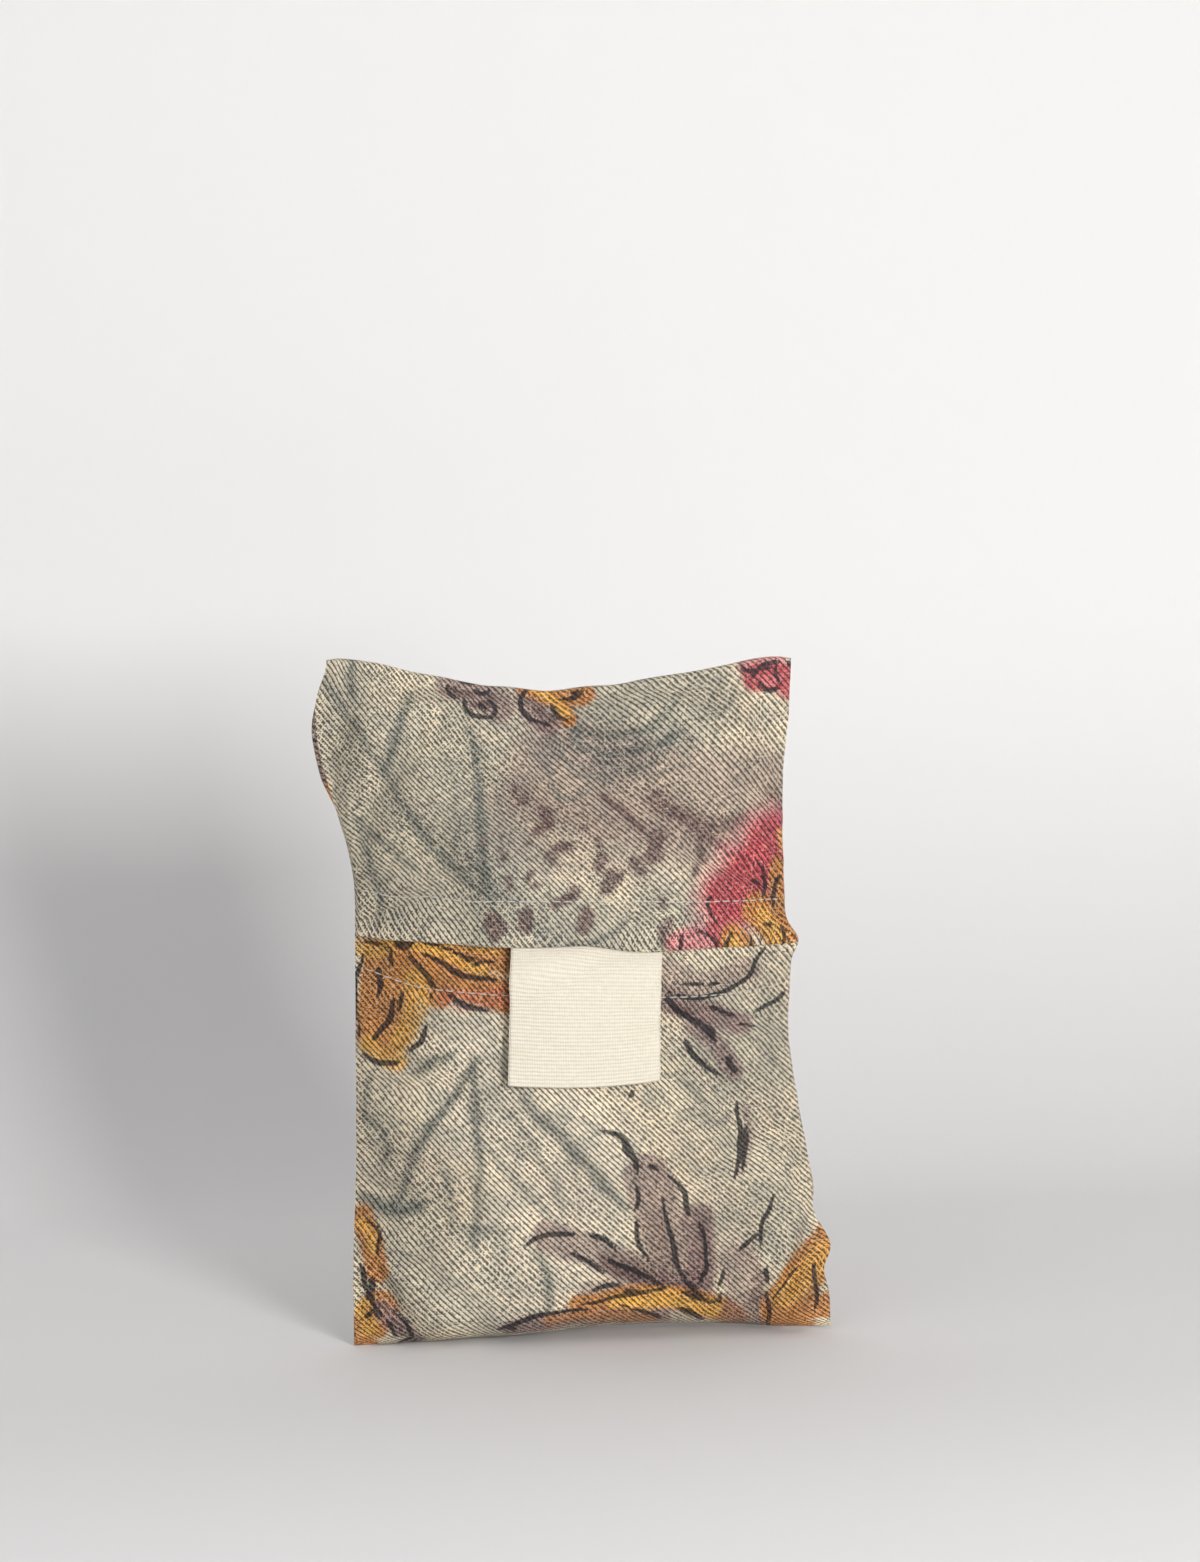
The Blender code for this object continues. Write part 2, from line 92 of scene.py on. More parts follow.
# Folds on each side: half width and height, then the points (across, up) of the fold's line
FRONT_FOLDS = (
    (4.0, 1.7, ((-0.99, 0.80), (-0.86, 0.88), (-0.66, 0.985))),
    (3.0, -1.2, ((-0.99, 0.70), (-0.80, 0.80), (-0.50, 0.95))),
    (7.0, 0.9, ((0.40, 0.52), (0.98, 0.62))),
    (2.2, -0.9, ((0.36, 0.500), (0.66, 0.495), (0.97, 0.525))),
    (2.6, 0.8, ((0.34, 0.465), (0.62, 0.445), (0.97, 0.455))),
    (2.2, -0.7, ((0.36, 0.430), (0.60, 0.395), (0.95, 0.375))),
    (3.0, 0.6, ((-0.40, 0.545), (0.10, 0.630), (0.95, 0.66))),
    (3.5, -1.7, ((0.60, 0.01), (0.78, 0.07), (0.99, 0.16))),
    (2.4, 1.7, ((0.74, 0.01), (0.88, 0.06), (0.985, 0.12))),
    (1.8, -1.3, ((0.90, 0.01), (0.96, 0.06))),
    (6.0, -1.0, ((0.50, 0.04), (0.80, 0.20), (0.97, 0.34))),
    (2.6, -1.5, ((-0.985, 0.20), (-0.90, 0.10), (-0.74, 0.01))),
    (2.4, 1.2, ((-0.985, 0.12), (-0.92, 0.05), (-0.86, 0.01))),
    (5.0, -0.8, ((-0.95, 0.30), (-0.75, 0.16), (-0.50, 0.03))),
    (4.0, -0.8, ((0.98, 0.90), (0.75, 0.93), (0.55, 0.99))),
    (3.0, 0.7, ((0.97, 0.76), (0.80, 0.80), (0.60, 0.78))),
    (3.5, 0.6, ((-0.97, 0.46), (-0.75, 0.43), (-0.50, 0.44))),
    (5.0, 0.5, ((-0.60, 0.30), (-0.55, 0.12), (-0.40, 0.02))),
    (5.0, -0.5, ((0.05, 0.30), (0.12, 0.12), (0.05, 0.0))),
)
BACK_FOLDS = (
    (6.0, -1.1, ((-0.97, 0.24), (-0.76, 0.15), (-0.56, 0.12))),
    (5.0, 1.3, ((0.30, 0.97), (0.70, 0.88), (0.97, 0.72))),
    (3.0, 1.0, ((-0.98, 0.62), (-0.70, 0.60), (-0.40, 0.64))),
    (3.0, -0.9, ((0.98, 0.34), (0.72, 0.30), (0.48, 0.34))),
    (4.0, 0.8, ((0.97, 0.16), (0.80, 0.13), (0.66, 0.14))),
    (4.0, -1.0, ((-0.60, 0.99), (-0.72, 0.90), (-0.97, 0.84))),
    (6.0, 0.7, ((-0.30, 0.50), (0.00, 0.30), (0.10, 0.05))),
)
# How far each corner is pulled: place across and up, reach, then the pull right, back and up
PULLS = (
    (-1.0, 1.0, 6.0, (2.4, -0.6, -0.6)),
    (1.0, 0.587, 3.0, (2.0, -1.4, 0.0)),
    (1.0, 0.125, 4.0, (1.3, -0.8, 0.0)),
    (1.0, 0.180, 4.0, (-1.1, 0.0, 0.0)),
    (1.0, 0.085, 3.0, (-0.9, 0.0, 0.0)),
    (0.22, 0.0, 27.0, (0.0, 1.2, 1.9)),
    (-1.0, 1.0, 16.0, (0.6, -3.0, 1.8)),
    (1.0, 1.0, 14.0, (-0.4, 1.5, 0.3)),
    (1.0, 0.0, 18.0, (-0.6, -4.0, 0.5)),
    (-1.0, 0.0, 15.0, (0.4, -3.0, 0.0)),
    (1.0, 0.54, 9.0, (0.8, -1.0, 0.0)),
)
# Where the back's cloth rolls past the seam into sight: side, the stretch up, and how far
ROLLS = ((-1, 0.76, 0.97, 2.6), (1, 0.12, 0.50, 1.7), (-1, 0.10, 0.66, 0.7), (1, 0.58, 0.92, 0.6))
ROLL_PLACE = 2.2
VALLEY_HALF = 1.3
VALLEY_DEPTH = 0.34

# The print's colours, each as a share of full light
GROUND = (0.700, 0.590, 0.425)
# Partly a cream of the print, partly painted light that brightens the pocket's middle.
PALE_AND_PAINTED_LIGHT = (0.840, 0.730, 0.560)
GREY = (0.170, 0.190, 0.172)
VEIN = (0.065, 0.088, 0.082)
MAUVE = (0.200, 0.100, 0.105)
PLUM = (0.080, 0.018, 0.026)
OCHRE = (0.500, 0.165, 0.004)
GOLD = (0.800, 0.400, 0.040)
CRIMSON = (0.460, 0.004, 0.035)
PINK = (0.680, 0.170, 0.200)
INK = (0.008, 0.008, 0.011)
INK_REACH = 3.0

# The print as the eye sees it, in millimetres: colour, half width, softness, strength, then
# the points (right, up) of each stroke
FLAP_PRINT = (
    (GREY, 17.53, 10.8, 0.36, ((-52.9, 131.8), (-34.7, 110.6), (-19.2, 87.3))),
    (GREY, 10.11, 7.2, 0.49, ((-1, 131.1), (7.8, 127.7), (23.9, 136.6))),
    (GREY, 8.09, 8.4, 0.33, ((-19.2, 135.2), (-19.2, 114.7), (-16.5, 90.7))),
    (GREY, 7.41, 6, 0.4, ((20.6, 89.4), (10.5, 83.9), (-1.7, 87.3))),
    (MAUVE, 12.17, 9.1, 0.51, ((-3, 120.2), (20.6, 114.7), (42.8, 113.3))),
    (MAUVE, 8.32, 7.8, 0.29, ((-13.1, 110.6), (0.4, 105.1), (20.6, 106.5))),
    (VEIN, 0.92, 2.3, 0.86, ((-34.7, 136.9), (-37.7, 128.4), (-40.4, 120.5))),
    (VEIN, 0.92, 2.3, 0.77, ((-40.4, 120.5), (-34.7, 110.6), (-27.3, 101.7), (-19.2, 94.2))),
    (VEIN, 0.86, 2.3, 0.69, ((-53.6, 141.4), (-45.5, 129.1), (-40.4, 120.5))),
    (VEIN, 0.92, 2.3, 0.77, ((-46.8, 144.8), (-47.5, 140.7), (-46.8, 135.9))),
    (VEIN, 0.69, 2.3, 0.43, ((-48.2, 128.4), (-44.1, 120.2), (-46.2, 113.3))),
    (VEIN, 0.92, 2.3, 0.69, ((-46.2, 110.6), (-39.4, 104.4), (-33.4, 99.6))),
    (VEIN, 0.75, 2.3, 0.6, ((-43.5, 101), (-40.8, 94.2), (-41.4, 87.3))),
    (VEIN, 0.69, 2.3, 0.52, ((-45.5, 107.9), (-43.5, 101))),
    (VEIN, 0.98, 2.3, 0.82, ((-22.6, 129.8), (-20.5, 124.3), (-20.2, 114.7), (-19.2, 101), (-17.2, 92.1))),
    (VEIN, 0.57, 2.3, 0.43, ((-15.8, 116.1), (-15.2, 101))),
    (VEIN, 0.57, 2.3, 0.34, ((-25.9, 120.2), (-24.6, 110.6), (-25.3, 101))),
    (VEIN, 0.8, 2.3, 0.77, ((-1, 135.9), (-0.7, 131.1), (0.4, 125.7))),
    (VEIN, 0.86, 2.3, 0.77, ((0.4, 126.3), (10.5, 123.9), (23.3, 129.8))),
    (VEIN, 0.86, 2.3, 0.69, ((-1.7, 130.4), (3.7, 128.4), (15.9, 129.1), (22.6, 138))),
    (VEIN, 0.69, 2.3, 0.52, ((-4.4, 128.4), (-1, 120.2), (7.8, 118.8))),
    (VEIN, 0.57, 2.3, 0.52, ((15.9, 120.2), (23.3, 121.9), (25, 129.1))),
    (VEIN, 0.69, 2.3, 0.6, ((3.7, 123.6), (11.8, 120.2), (18.6, 124.3), (21.2, 131.8))),
    (VEIN, 0.63, 2.3, 0.43, ((-5.7, 116.8), (-1, 114.7), (3.7, 116.8))),
    (VEIN, 0.63, 2.3, 0.43, ((-9.8, 126.3), (-5.7, 121.5), (-3, 113.3))),
    (VEIN, 0.57, 2.3, 0.34, ((10.5, 110.6), (13.2, 105.1), (11.1, 99.6))),
    (VEIN, 0.69, 2.3, 0.34, ((27.3, 132.5), (32, 135.2), (37.4, 140.7))),
    (VEIN, 0.69, 2.3, 0.34, ((14.5, 140.7), (19.9, 142.8), (22.6, 144.8))),
    (VEIN, 0.57, 2.3, 0.34, ((-7.1, 105.1), (-5.7, 96.9), (-7.1, 90.7))),
    (VEIN, 0.8, 2.3, 0.69, ((11.1, 88.7), (6.4, 84.6), (-1, 83.2))),
    (VEIN, 0.69, 2.3, 0.43, ((-33.4, 110.6), (-24.6, 104.4), (-13.8, 92.1))),
    (VEIN, 0.57, 2.3, 0.3, ((-28.6, 140), (-27.3, 131.1), (-30, 122.9))),
    (PLUM, 0.8, 1, 0.9, ((5.7, 115.4), (10.5, 112), (14.5, 108.5))),
    (PLUM, 1.72, 3.3, 0.72, ((16.5, 115.4), (26.6, 108.5), (36.7, 110.6))),
    (PLUM, 1.49, 3, 0.72, ((27.3, 106.5), (32.7, 103.8), (37.4, 105.1))),
    (PLUM, 1.15, 3, 0.54, ((18.6, 112), (23.9, 110.6), (30, 106.5))),
    (PLUM, 1.38, 3, 0.54, ((42.1, 116.8), (44.2, 113.3), (43.5, 110.6))),
    (PLUM, 0.81, 1.4, 0.85, ((-10.6, 115.1), (-11.6, 114.3))),
    (PLUM, 1.43, 1.4, 0.85, ((-6.7, 112.1), (-6.1, 109.8))),
    (PLUM, 1.16, 1.4, 0.85, ((-6.2, 108.8), (-7.7, 107.6))),
    (PLUM, 1.16, 1.4, 0.85, ((-2.1, 104.6), (-4, 104.3))),
    (PLUM, 1.07, 1.4, 0.85, ((-5.4, 102.9), (-4.7, 101.2))),
    (PLUM, 0.63, 1.4, 0.85, ((-1.9, 104.1), (-0.8, 104.1))),
    (PLUM, 0.67, 1.4, 0.85, ((-15.5, 102.9), (-15.1, 101.9))),
    (PLUM, 0.81, 1.4, 0.85, ((-13.7, 97.6), (-13.9, 96.2))),
    (PLUM, 0.76, 1.4, 0.85, ((-9.3, 98.7), (-9.9, 97.6))),
    (PLUM, 0.63, 1.4, 0.85, ((-7.8, 96.2), (-8.8, 96))),
    (PLUM, 1.25, 1.4, 0.85, ((5.8, 102), (5, 100.1))),
    (PLUM, 1.52, 1.4, 0.85, ((7.5, 98.1), (6.7, 95.7))),
    (PLUM, 0.81, 1.4, 0.85, ((9.8, 98.7), (9.1, 97.6))),
    (PLUM, 1.96, 1.4, 0.85, ((17.3, 106.4), (17.1, 103.1))),
    (PLUM, 1.34, 1.4, 0.85, ((12.5, 101.1), (13.8, 99.3))),
    (PLUM, 0.81, 1.4, 0.85, ((14.8, 102.1), (15.9, 101.3))),
    (PLUM, 0.81, 1.4, 0.85, ((5, 105.8), (5.2, 104.5))),
    (PLUM, 1.34, 1.4, 0.85, ((-0.2, 95.1), (-1.5, 93.2))),
    (PLUM, 1.16, 1.4, 0.85, ((-2.2, 93.2), (-3.8, 92.1))),
    (PLUM, 1.7, 1.4, 0.85, ((-17.7, 88.7), (-15.3, 87.3))),
    (PLUM, 1.07, 1.4, 0.85, ((-17.7, 86.6), (-16.7, 85.1))),
    (PLUM, 1.52, 1.4, 0.85, ((-10.4, 90), (-10.4, 87.4))),
    (PLUM, 1.61, 1.4, 0.85, ((2.2, 90), (1.5, 87.4))),
    (PLUM, 1.07, 1.4, 0.85, ((26.4, 103.8), (26.9, 102.1))),
    (PLUM, 0.81, 1.4, 0.85, ((25.5, 100.2), (25.3, 98.8))),
    (PLUM, 0.71, 1.4, 0.85, ((18.1, 93.1), (19, 92.2))),
    (PLUM, 1.34, 1.4, 0.85, ((20.1, 88.7), (18.4, 87.3))),
    (PLUM, 1.16, 1.4, 0.85, ((18.6, 85.5), (19.1, 83.6))),
    (PLUM, 0.63, 1.4, 0.85, ((-13.1, 117.2), (-12.5, 116.3))),
    (PLUM, 0.54, 1.4, 0.85, ((-9.3, 105.3), (-10.2, 105))),
    (PLUM, 0.54, 1.4, 0.85, ((1.9, 108.6), (2.8, 108.5))),
    (PLUM, 0.49, 1.4, 0.85, ((-19.3, 105.5), (-19.1, 104.7))),
    (MAUVE, 3.84, 2.6, 0.74, ((-25.9, 140), (-19.2, 138), (-16.5, 135.2))),
    (INK, 0.46, 0, 1, ((-26.9, 140), (-26.9, 137.6), (-24.6, 136.3))),
    (INK, 0.46, 0, 1, ((-26.3, 142.1), (-23.2, 142.4), (-19.2, 141.7))),
    (INK, 0.46, 0, 1, ((-24.6, 140.4), (-21.9, 140), (-20.2, 141))),
    (INK, 0.46, 0, 1, ((-23.2, 136.3), (-22.9, 133.9), (-21.2, 132.5), (-17.8, 132.5))),
    (INK, 0.46, 0, 1, ((-21.6, 138.7), (-20.2, 137.6), (-18.2, 138.7))),
    (INK, 0.46, 0, 1, ((-18.9, 136.6), (-17.2, 135.2), (-17.5, 132.8))),
    (INK, 0.46, 0, 1, ((-20.5, 135.6), (-19.2, 134.2))),
    (INK, 0.46, 0, 1, ((-15.8, 141.4), (-13.8, 140.8))),
    (INK, 0.46, 0, 1, ((-13.8, 141.4), (-9.8, 140.4), (-5.7, 139.3))),
    (INK, 0.46, 0, 1, ((-19.2, 140.7), (-16.5, 139.7))),
    (PLUM, 0.75, 1, 0.9, ((-26, 138.7), (-25.2, 138.4))),
    (PLUM, 0.75, 1, 0.9, ((-24.7, 137.6), (-23.8, 137.4))),
    (PLUM, 0.75, 1, 0.9, ((-21.6, 134.9), (-20.8, 134.6))),
    (PLUM, 0.75, 1, 0.9, ((-19.6, 135.6), (-18.8, 135.3))),
    (PLUM, 0.75, 1, 0.9, ((-22.3, 137.6), (-21.5, 137.4))),
    (PLUM, 0.75, 1, 0.9, ((-18.6, 137.6), (-17.8, 137.4))),
    (MAUVE, 2.43, 1.3, 0.82, ((-10.4, 139.3), (-9.8, 134.5), (-5.7, 131))),
    (PLUM, 0.86, 1.5, 0.63, ((-8.4, 135.2), (-6.4, 132.8), (-4.7, 131.8))),
    (OCHRE, 2.13, 1, 0.95, ((-9.8, 139), (-4.4, 136.6), (1.8, 137.4))),
    (OCHRE, 1.88, 1, 0.95, ((-5, 138), (-3, 135.2), (-1.3, 132.2))),
    (GOLD, 1.15, 1, 0.81, ((-8.4, 138.7), (-4.4, 135.9), (-2, 133.5))),
    (INK, 0.46, 0, 1, ((-10.4, 140), (-10.4, 138), (-11.8, 135.9), (-10.4, 132.5), (-5, 130.7))),
    (INK, 0.46, 0, 1, ((-5.4, 135.2), (-3.7, 132.6), (-1.5, 131.8))),
    (INK, 0.46, 0, 1, ((-3, 136.7), (0.4, 136.9), (1.4, 138))),
    (INK, 0.46, 0, 1, ((-0.7, 138.1), (1.6, 138.2))),
    (PINK, 1.75, 1, 0.77, ((36.7, 144.4), (40.8, 144.8), (44.2, 145.5))),
    (CRIMSON, 2.97, 1.1, 0.95, ((38.8, 142.1), (44.2, 142.8), (47.4, 141.4))),
    (CRIMSON, 1.48, 1.1, 0.76, ((44.2, 140), (46.2, 138.7))),
    (PINK, 0.94, 1.1, 0.51, ((40.1, 140.7), (44.2, 142.1))),
    (INK, 0.46, 0, 1, ((35.5, 144.8), (36.4, 143.4), (38.8, 143))),
    (INK, 0.46, 0, 1, ((38, 141.7), (39.8, 144.7), (44.2, 146))),
    (INK, 0.46, 0, 1, ((39.1, 141.3), (41.5, 139.2), (44.2, 139.9))),
    (INK, 0.46, 0, 1, ((43.5, 144.8), (42.8, 142.8), (44.2, 140.7))),
    (INK, 0.46, 0, 1, ((45.8, 145.8), (47.4, 144.5))),
    (INK, 0.46, 0, 1, ((40.1, 143.8), (42.1, 144.1))),
    (PINK, 8.09, 5.5, 0.64, ((32.7, 92.8), (37.4, 99.6), (43.5, 106.5))),
    (CRIMSON, 5.26, 3.5, 0.95, ((32.7, 94.2), (37.4, 99), (43.5, 107.2))),
    (CRIMSON, 2.7, 2.4, 0.76, ((30.7, 90.1), (36.1, 90.1), (40.1, 94.2))),
    (PINK, 3.51, 2.2, 0.85, ((22.6, 83.2), (27.3, 84.9), (30.7, 83.2))),
    (CRIMSON, 1.75, 1.8, 0.85, ((29.3, 87.3), (32, 83.9), (31.4, 80.5))),
    (GOLD, 0.96, 1, 0.9, ((44.2, 108.5), (45, 105.1))),
    (OCHRE, 2.13, 1.2, 0.95, ((44.2, 101), (43.5, 96.2), (45.5, 90.1))),
    (OCHRE, 2.88, 1.2, 0.95, ((33.4, 85.3), (36.1, 83.2), (37.4, 79.8))),
    (OCHRE, 3.89, 1.2, 0.95, ((39.4, 91.4), (43.5, 87.3), (46.9, 81.9))),
    (GOLD, 1.66, 1.3, 0.81, ((33.4, 83.9), (36.1, 81.2))),
    (GOLD, 1.92, 1.6, 0.72, ((40.1, 90.1), (43.5, 86), (44.2, 81.9))),
    (INK, 0.41, 0, 1, ((29, 94.2), (27.7, 91.6), (30.1, 88.6))),
    (INK, 0.41, 0, 1, ((27, 86.6), (29.9, 84.6), (30.8, 81.5))),
    (INK, 0.41, 0, 1, ((33, 86.3), (32, 83.9), (32.7, 81.5))),
    (INK, 0.41, 0, 1, ((37.4, 80.5), (38.2, 83.1), (37.4, 85.3))),
    (INK, 0.41, 0, 1, ((39.8, 88.8), (41.8, 88.6))),
    (INK, 0.41, 0, 1, ((22.6, 86.1), (21.8, 83.2), (22.5, 80.1))),
    (INK, 0.41, 0, 1, ((40.1, 101.7), (41.1, 97.6), (40.1, 93.8))),
    (INK, 0.41, 0, 1, ((38, 97.7), (39.6, 96.9))),
    (INK, 0.41, 0, 1, ((44.2, 99.6), (42.5, 95.5), (42.8, 92.1))),
    (INK, 0.41, 0, 1, ((38.8, 101.7), (40.1, 101))),
    (INK, 0.41, 0, 1, ((44.2, 88.7), (45.2, 84.6), (44.2, 80.5))),
    (INK, 0.41, 0, 1, ((25.6, 87), (27.3, 86.3))),
)
POCKET_PRINT = (
    # A pale wash over the pocket's middle: partly a cream patch of the print, partly painted light that
    # brightens the pocket.
    (PALE_AND_PAINTED_LIGHT, 14, 11, 0.85, ((-18, 54), (6, 34), (-14, 14))),
    (GREY, 14.98, 10.8, 0.12, ((-23.5, 58.3), (-27.6, 33.1), (-26.9, 9.9))),
    (GREY, 11.24, 3.6, 0.2, ((-31.7, 17.4), (-20.8, 14.3), (-16, 12.7))),
    (GREY, 6.81, 7.2, 0.14, ((-41.2, 59.9), (-43.3, 46.8), (-41.9, 31))),
    (GREY, 8.85, 7.2, 0.21, ((21.4, 54.2), (32.3, 56.7), (42.5, 60))),
    (GREY, 6.13, 6, 0.22, ((42.5, 69), (38.4, 72.5), (32.3, 74))),
    (GREY, 5.45, 6, 0.22, ((41.2, 27.5), (47.3, 20.3), (45.9, 13.4))),
    (GREY, 7.49, 7.2, 0.14, ((-11.3, 48.7), (-1.7, 43.1), (9.2, 29.9))),
    (GREY, 4.09, 3.6, 0.22, ((-15.3, 4), (-1.7, 1.3), (11.9, 1.6))),
    (GREY, 11, 9, 0.26, ((34, 62), (40, 40), (38, 22))),
    (VEIN, 0.87, 2.3, 0.77, ((-21.6, 60.9), (-21.1, 48.9), (-20.1, 39.6), (-21.5, 21))),
    (VEIN, 0.81, 2.3, 0.77, ((-20.1, 60.2), (-26.2, 51.7), (-33.4, 43.2), (-37.1, 33.4), (-39.2, 28.2))),
    (VEIN, 0.58, 2.3, 0.52, ((-22.2, 57.6), (-29, 49.1), (-34.4, 37.3))),
    (VEIN, 1.05, 2.3, 0.77, ((-11.3, 51.4), (-2.4, 43.1), (5.1, 34.1), (11.2, 27.8))),
    (VEIN, 0.64, 2.3, 0.47, ((-14, 48.8), (-7.2, 39.2), (-1.7, 26.9))),
    (VEIN, 0.7, 2.3, 0.47, ((-20.1, 43.6), (-13.3, 35.4), (-5.8, 27.1))),
    (VEIN, 0.7, 2.3, 0.6, ((-45.3, 49.4), (-40.2, 45.4), (-39.9, 40.1), (-41.9, 37.5))),
    (VEIN, 1.5, 2.3, 0.86, ((-46.3, 32.4), (-39.9, 28.9), (-32.4, 30))),
    (VEIN, 1.05, 2.3, 0.77, ((-33.7, 57.8), (-29, 60), (-26.2, 61))),
    (VEIN, 0.52, 2.3, 0.34, ((-20.8, 48.9), (-17.4, 43.5), (-11.3, 40))),
    (VEIN, 0.52, 2.3, 0.34, ((-25.6, 53), (-20.8, 51.6), (-15.3, 54.2))),
    (VEIN, 0.93, 2.3, 0.69, ((-7.9, 19.8), (-5.5, 13.6), (-5.8, 6.9))),
    (VEIN, 0.76, 2.3, 0.43, ((-26.9, 26.5), (-20.8, 24.3), (-11.3, 24.6))),
    (VEIN, 0.58, 2.3, 0.43, ((-29, 38.5), (-25.6, 31.8), (-26.9, 23.8))),
    (VEIN, 0.58, 2.3, 0.34, ((-1.7, 41.8), (1, 32.2), (0.3, 25.5))),
    (VEIN, 0.7, 2.3, 0.43, ((24.1, 47.9), (31, 45), (34.4, 47.7))),
    (VEIN, 0.7, 2.3, 0.52, ((18.7, 56.3), (24.1, 54.1), (28.2, 49.2))),
    (VEIN, 0.7, 2.3, 0.43, ((35.7, 65.7), (41.2, 61.4), (45.3, 55.1))),
    (VEIN, 0.52, 2.3, 0.34, ((-5.8, 48.6), (5.1, 45.7), (17.3, 37.2))),
    (VEIN, 0.58, 2.3, 0.34, ((41.9, 26.7), (41.2, 19.8), (35, 16.6))),
    (VEIN, 0.7, 2.3, 0.6, ((-43.9, 57.3), (-45.3, 52), (-43.9, 46.8))),
    (VEIN, 0.58, 2.3, 0.43, ((-16.7, 60.9), (-14, 55.5), (-8.5, 51.3))),
    (OCHRE, 6.33, 1.1, 0.95, ((-39.2, 82.2), (-39.5, 74.3), (-40.7, 67))),
    (OCHRE, 3.04, 1.1, 0.95, ((-35.8, 84.9), (-26.2, 82.2), (-13.3, 80.2))),
    (OCHRE, 3.54, 1.1, 0.95, ((-35.8, 80.9), (-26.2, 76.2), (-14, 72.9))),
    (OCHRE, 3.29, 1.1, 0.95, ((-36.5, 82.2), (-32.4, 77.6), (-29, 73.6))),
    (GOLD, 2.58, 2.3, 0.77, ((-33.7, 76.3), (-33.1, 71.6), (-36.5, 64.4))),
    (GOLD, 1.94, 1.6, 0.81, ((-43.9, 63.2), (-40.5, 60.5), (-37.8, 60.1))),
    (GOLD, 1.17, 1, 0.81, ((-34.4, 84.2), (-27.6, 81.6), (-19.4, 78.2))),
    (GOLD, 0.9, 1, 0.63, ((-35.1, 85.2), (-26.9, 84.5), (-16.7, 82.2))),
    (GOLD, 1.94, 1.6, 0.72, ((-46, 83.5), (-41.9, 82.5), (-39.2, 84.2))),
    (INK, 0.41, 0, 1, ((-45.2, 82.2), (-46.9, 75), (-46.3, 65.2))),
    (INK, 0.52, 0, 1, ((-45.4, 61.9), (-42.6, 59.2), (-37.7, 59.7))),
    (INK, 0.52, 0, 1, ((-31.1, 67), (-32.9, 63.1), (-35.4, 61.4))),
    (INK, 0.57, 0, 1, ((-38.5, 72.3), (-39.9, 67.7), (-43.1, 64.5))),
    (INK, 0.41, 0, 1, ((-36.5, 74.3), (-37.3, 70.5))),
    (INK, 0.62, 0, 1, ((-42.2, 78.6), (-41.4, 74.9))),
    (INK, 0.41, 0, 1, ((-33.7, 84.7), (-26.9, 83), (-20, 78.8))),
    (INK, 0.46, 0, 1, ((-32.4, 82.2), (-25.6, 77.9), (-16.6, 76.2))),
    (INK, 0.46, 0, 1, ((-35.1, 82.2), (-31.6, 77.6), (-29.6, 74.6))),
    (INK, 0.52, 0, 1, ((-27.5, 74.3), (-23.9, 70.9), (-18.1, 70.1))),
    (INK, 0.41, 0, 1, ((-39, 82.9), (-38.8, 78.6))),
    (INK, 0.68, 0, 1, ((-38.2, 84.2), (-35.8, 83.2), (-34.1, 84.9))),
    (INK, 0.36, 0, 1, ((-45.3, 84.8), (-41.9, 84.2), (-39.2, 83.2))),
    (INK, 0.41, 0, 1, ((-41.2, 76.3), (-41.9, 73))),
    (INK, 0.36, 0, 1, ((-26.9, 82.6), (-22.2, 80.9), (-16.7, 79.6))),
    (INK, 0.36, 0, 1, ((-30.7, 73.6), (-30.3, 72))),
    (CRIMSON, 2.32, 1.8, 0.33, ((-26.9, 72.9), (-22.2, 71.9), (-15.3, 72.9))),
    (MAUVE, 2.85, 1.6, 0.82, ((18.7, 72.7), (26.2, 69.9), (35, 67))),
    (MAUVE, 2.58, 1.8, 0.57, ((19.4, 78.1), (27.6, 74.7), (37.1, 78.8))),
    (PLUM, 1.05, 1.8, 0.81, ((19.4, 71.6), (24.1, 69.2), (28.9, 64.3))),
    (PLUM, 0.7, 1.5, 0.72, ((28.9, 70.2), (34.4, 68.3))),
    (MAUVE, 2.2, 1.8, 0.74, ((25.5, 66.4), (30.3, 62.3), (34, 56.7))),
    (MAUVE, 1.29, 1.8, 0.49, ((37.1, 47.7), (37.1, 41.4), (35.7, 35.3))),
    (INK, 0.57, 0, 1, ((18.7, 72.3), (22.8, 69.2), (27.6, 65.7), (29.9, 62.6))),
    (INK, 0.46, 0, 1, ((19.4, 73.3), (25.5, 72.2), (32.3, 73.3), (36.5, 76), (38.4, 80.8), (41.2, 83.3))),
    (INK, 0.41, 0, 1, ((22.1, 75.7), (26.9, 75.4))),
    (INK, 0.41, 0, 1, ((27.9, 75.2), (30.6, 75.5))),
    (INK, 0.52, 0, 1, ((28.9, 70.7), (34.7, 68.6))),
    (INK, 0.41, 0, 1, ((37.9, 69.2), (40.6, 70), (45.4, 73.3))),
    (INK, 0.57, 0, 1, ((23.6, 63.4), (26.2, 58.9), (31.4, 55.6))),
    (INK, 0.62, 0, 1, ((32, 59.8), (34.4, 56.3))),
    (INK, 0.52, 0, 1, ((34.4, 49.8), (35.2, 43.6), (35.7, 38), (34, 33.8))),
    (INK, 0.46, 0, 1, ((36.3, 44.2), (36.8, 39.4), (35.9, 34.8))),
    (INK, 0.62, 0, 1, ((26.9, 66.4), (29.6, 65))),
    (INK, 0.36, 0, 1, ((35, 66.7), (38.4, 66.3))),
    (INK, 0.62, 0, 1, ((12.2, 52.6), (11.5, 51.8))),
    (MAUVE, 5.04, 2.1, 0.7, ((23.5, 8.9), (19.4, 20.7), (15.3, 34.5))),
    (MAUVE, 3.23, 1.6, 0.82, ((26.2, 8.8), (27.6, 17), (26.2, 25.2))),
    (PLUM, 1.39, 2.4, 0.72, ((25.5, 9.5), (28.2, 16.9), (26.9, 23.2))),
    (PLUM, 1.16, 2.7, 0.41, ((22.8, 10.3), (18.7, 18), (18, 26.2))),
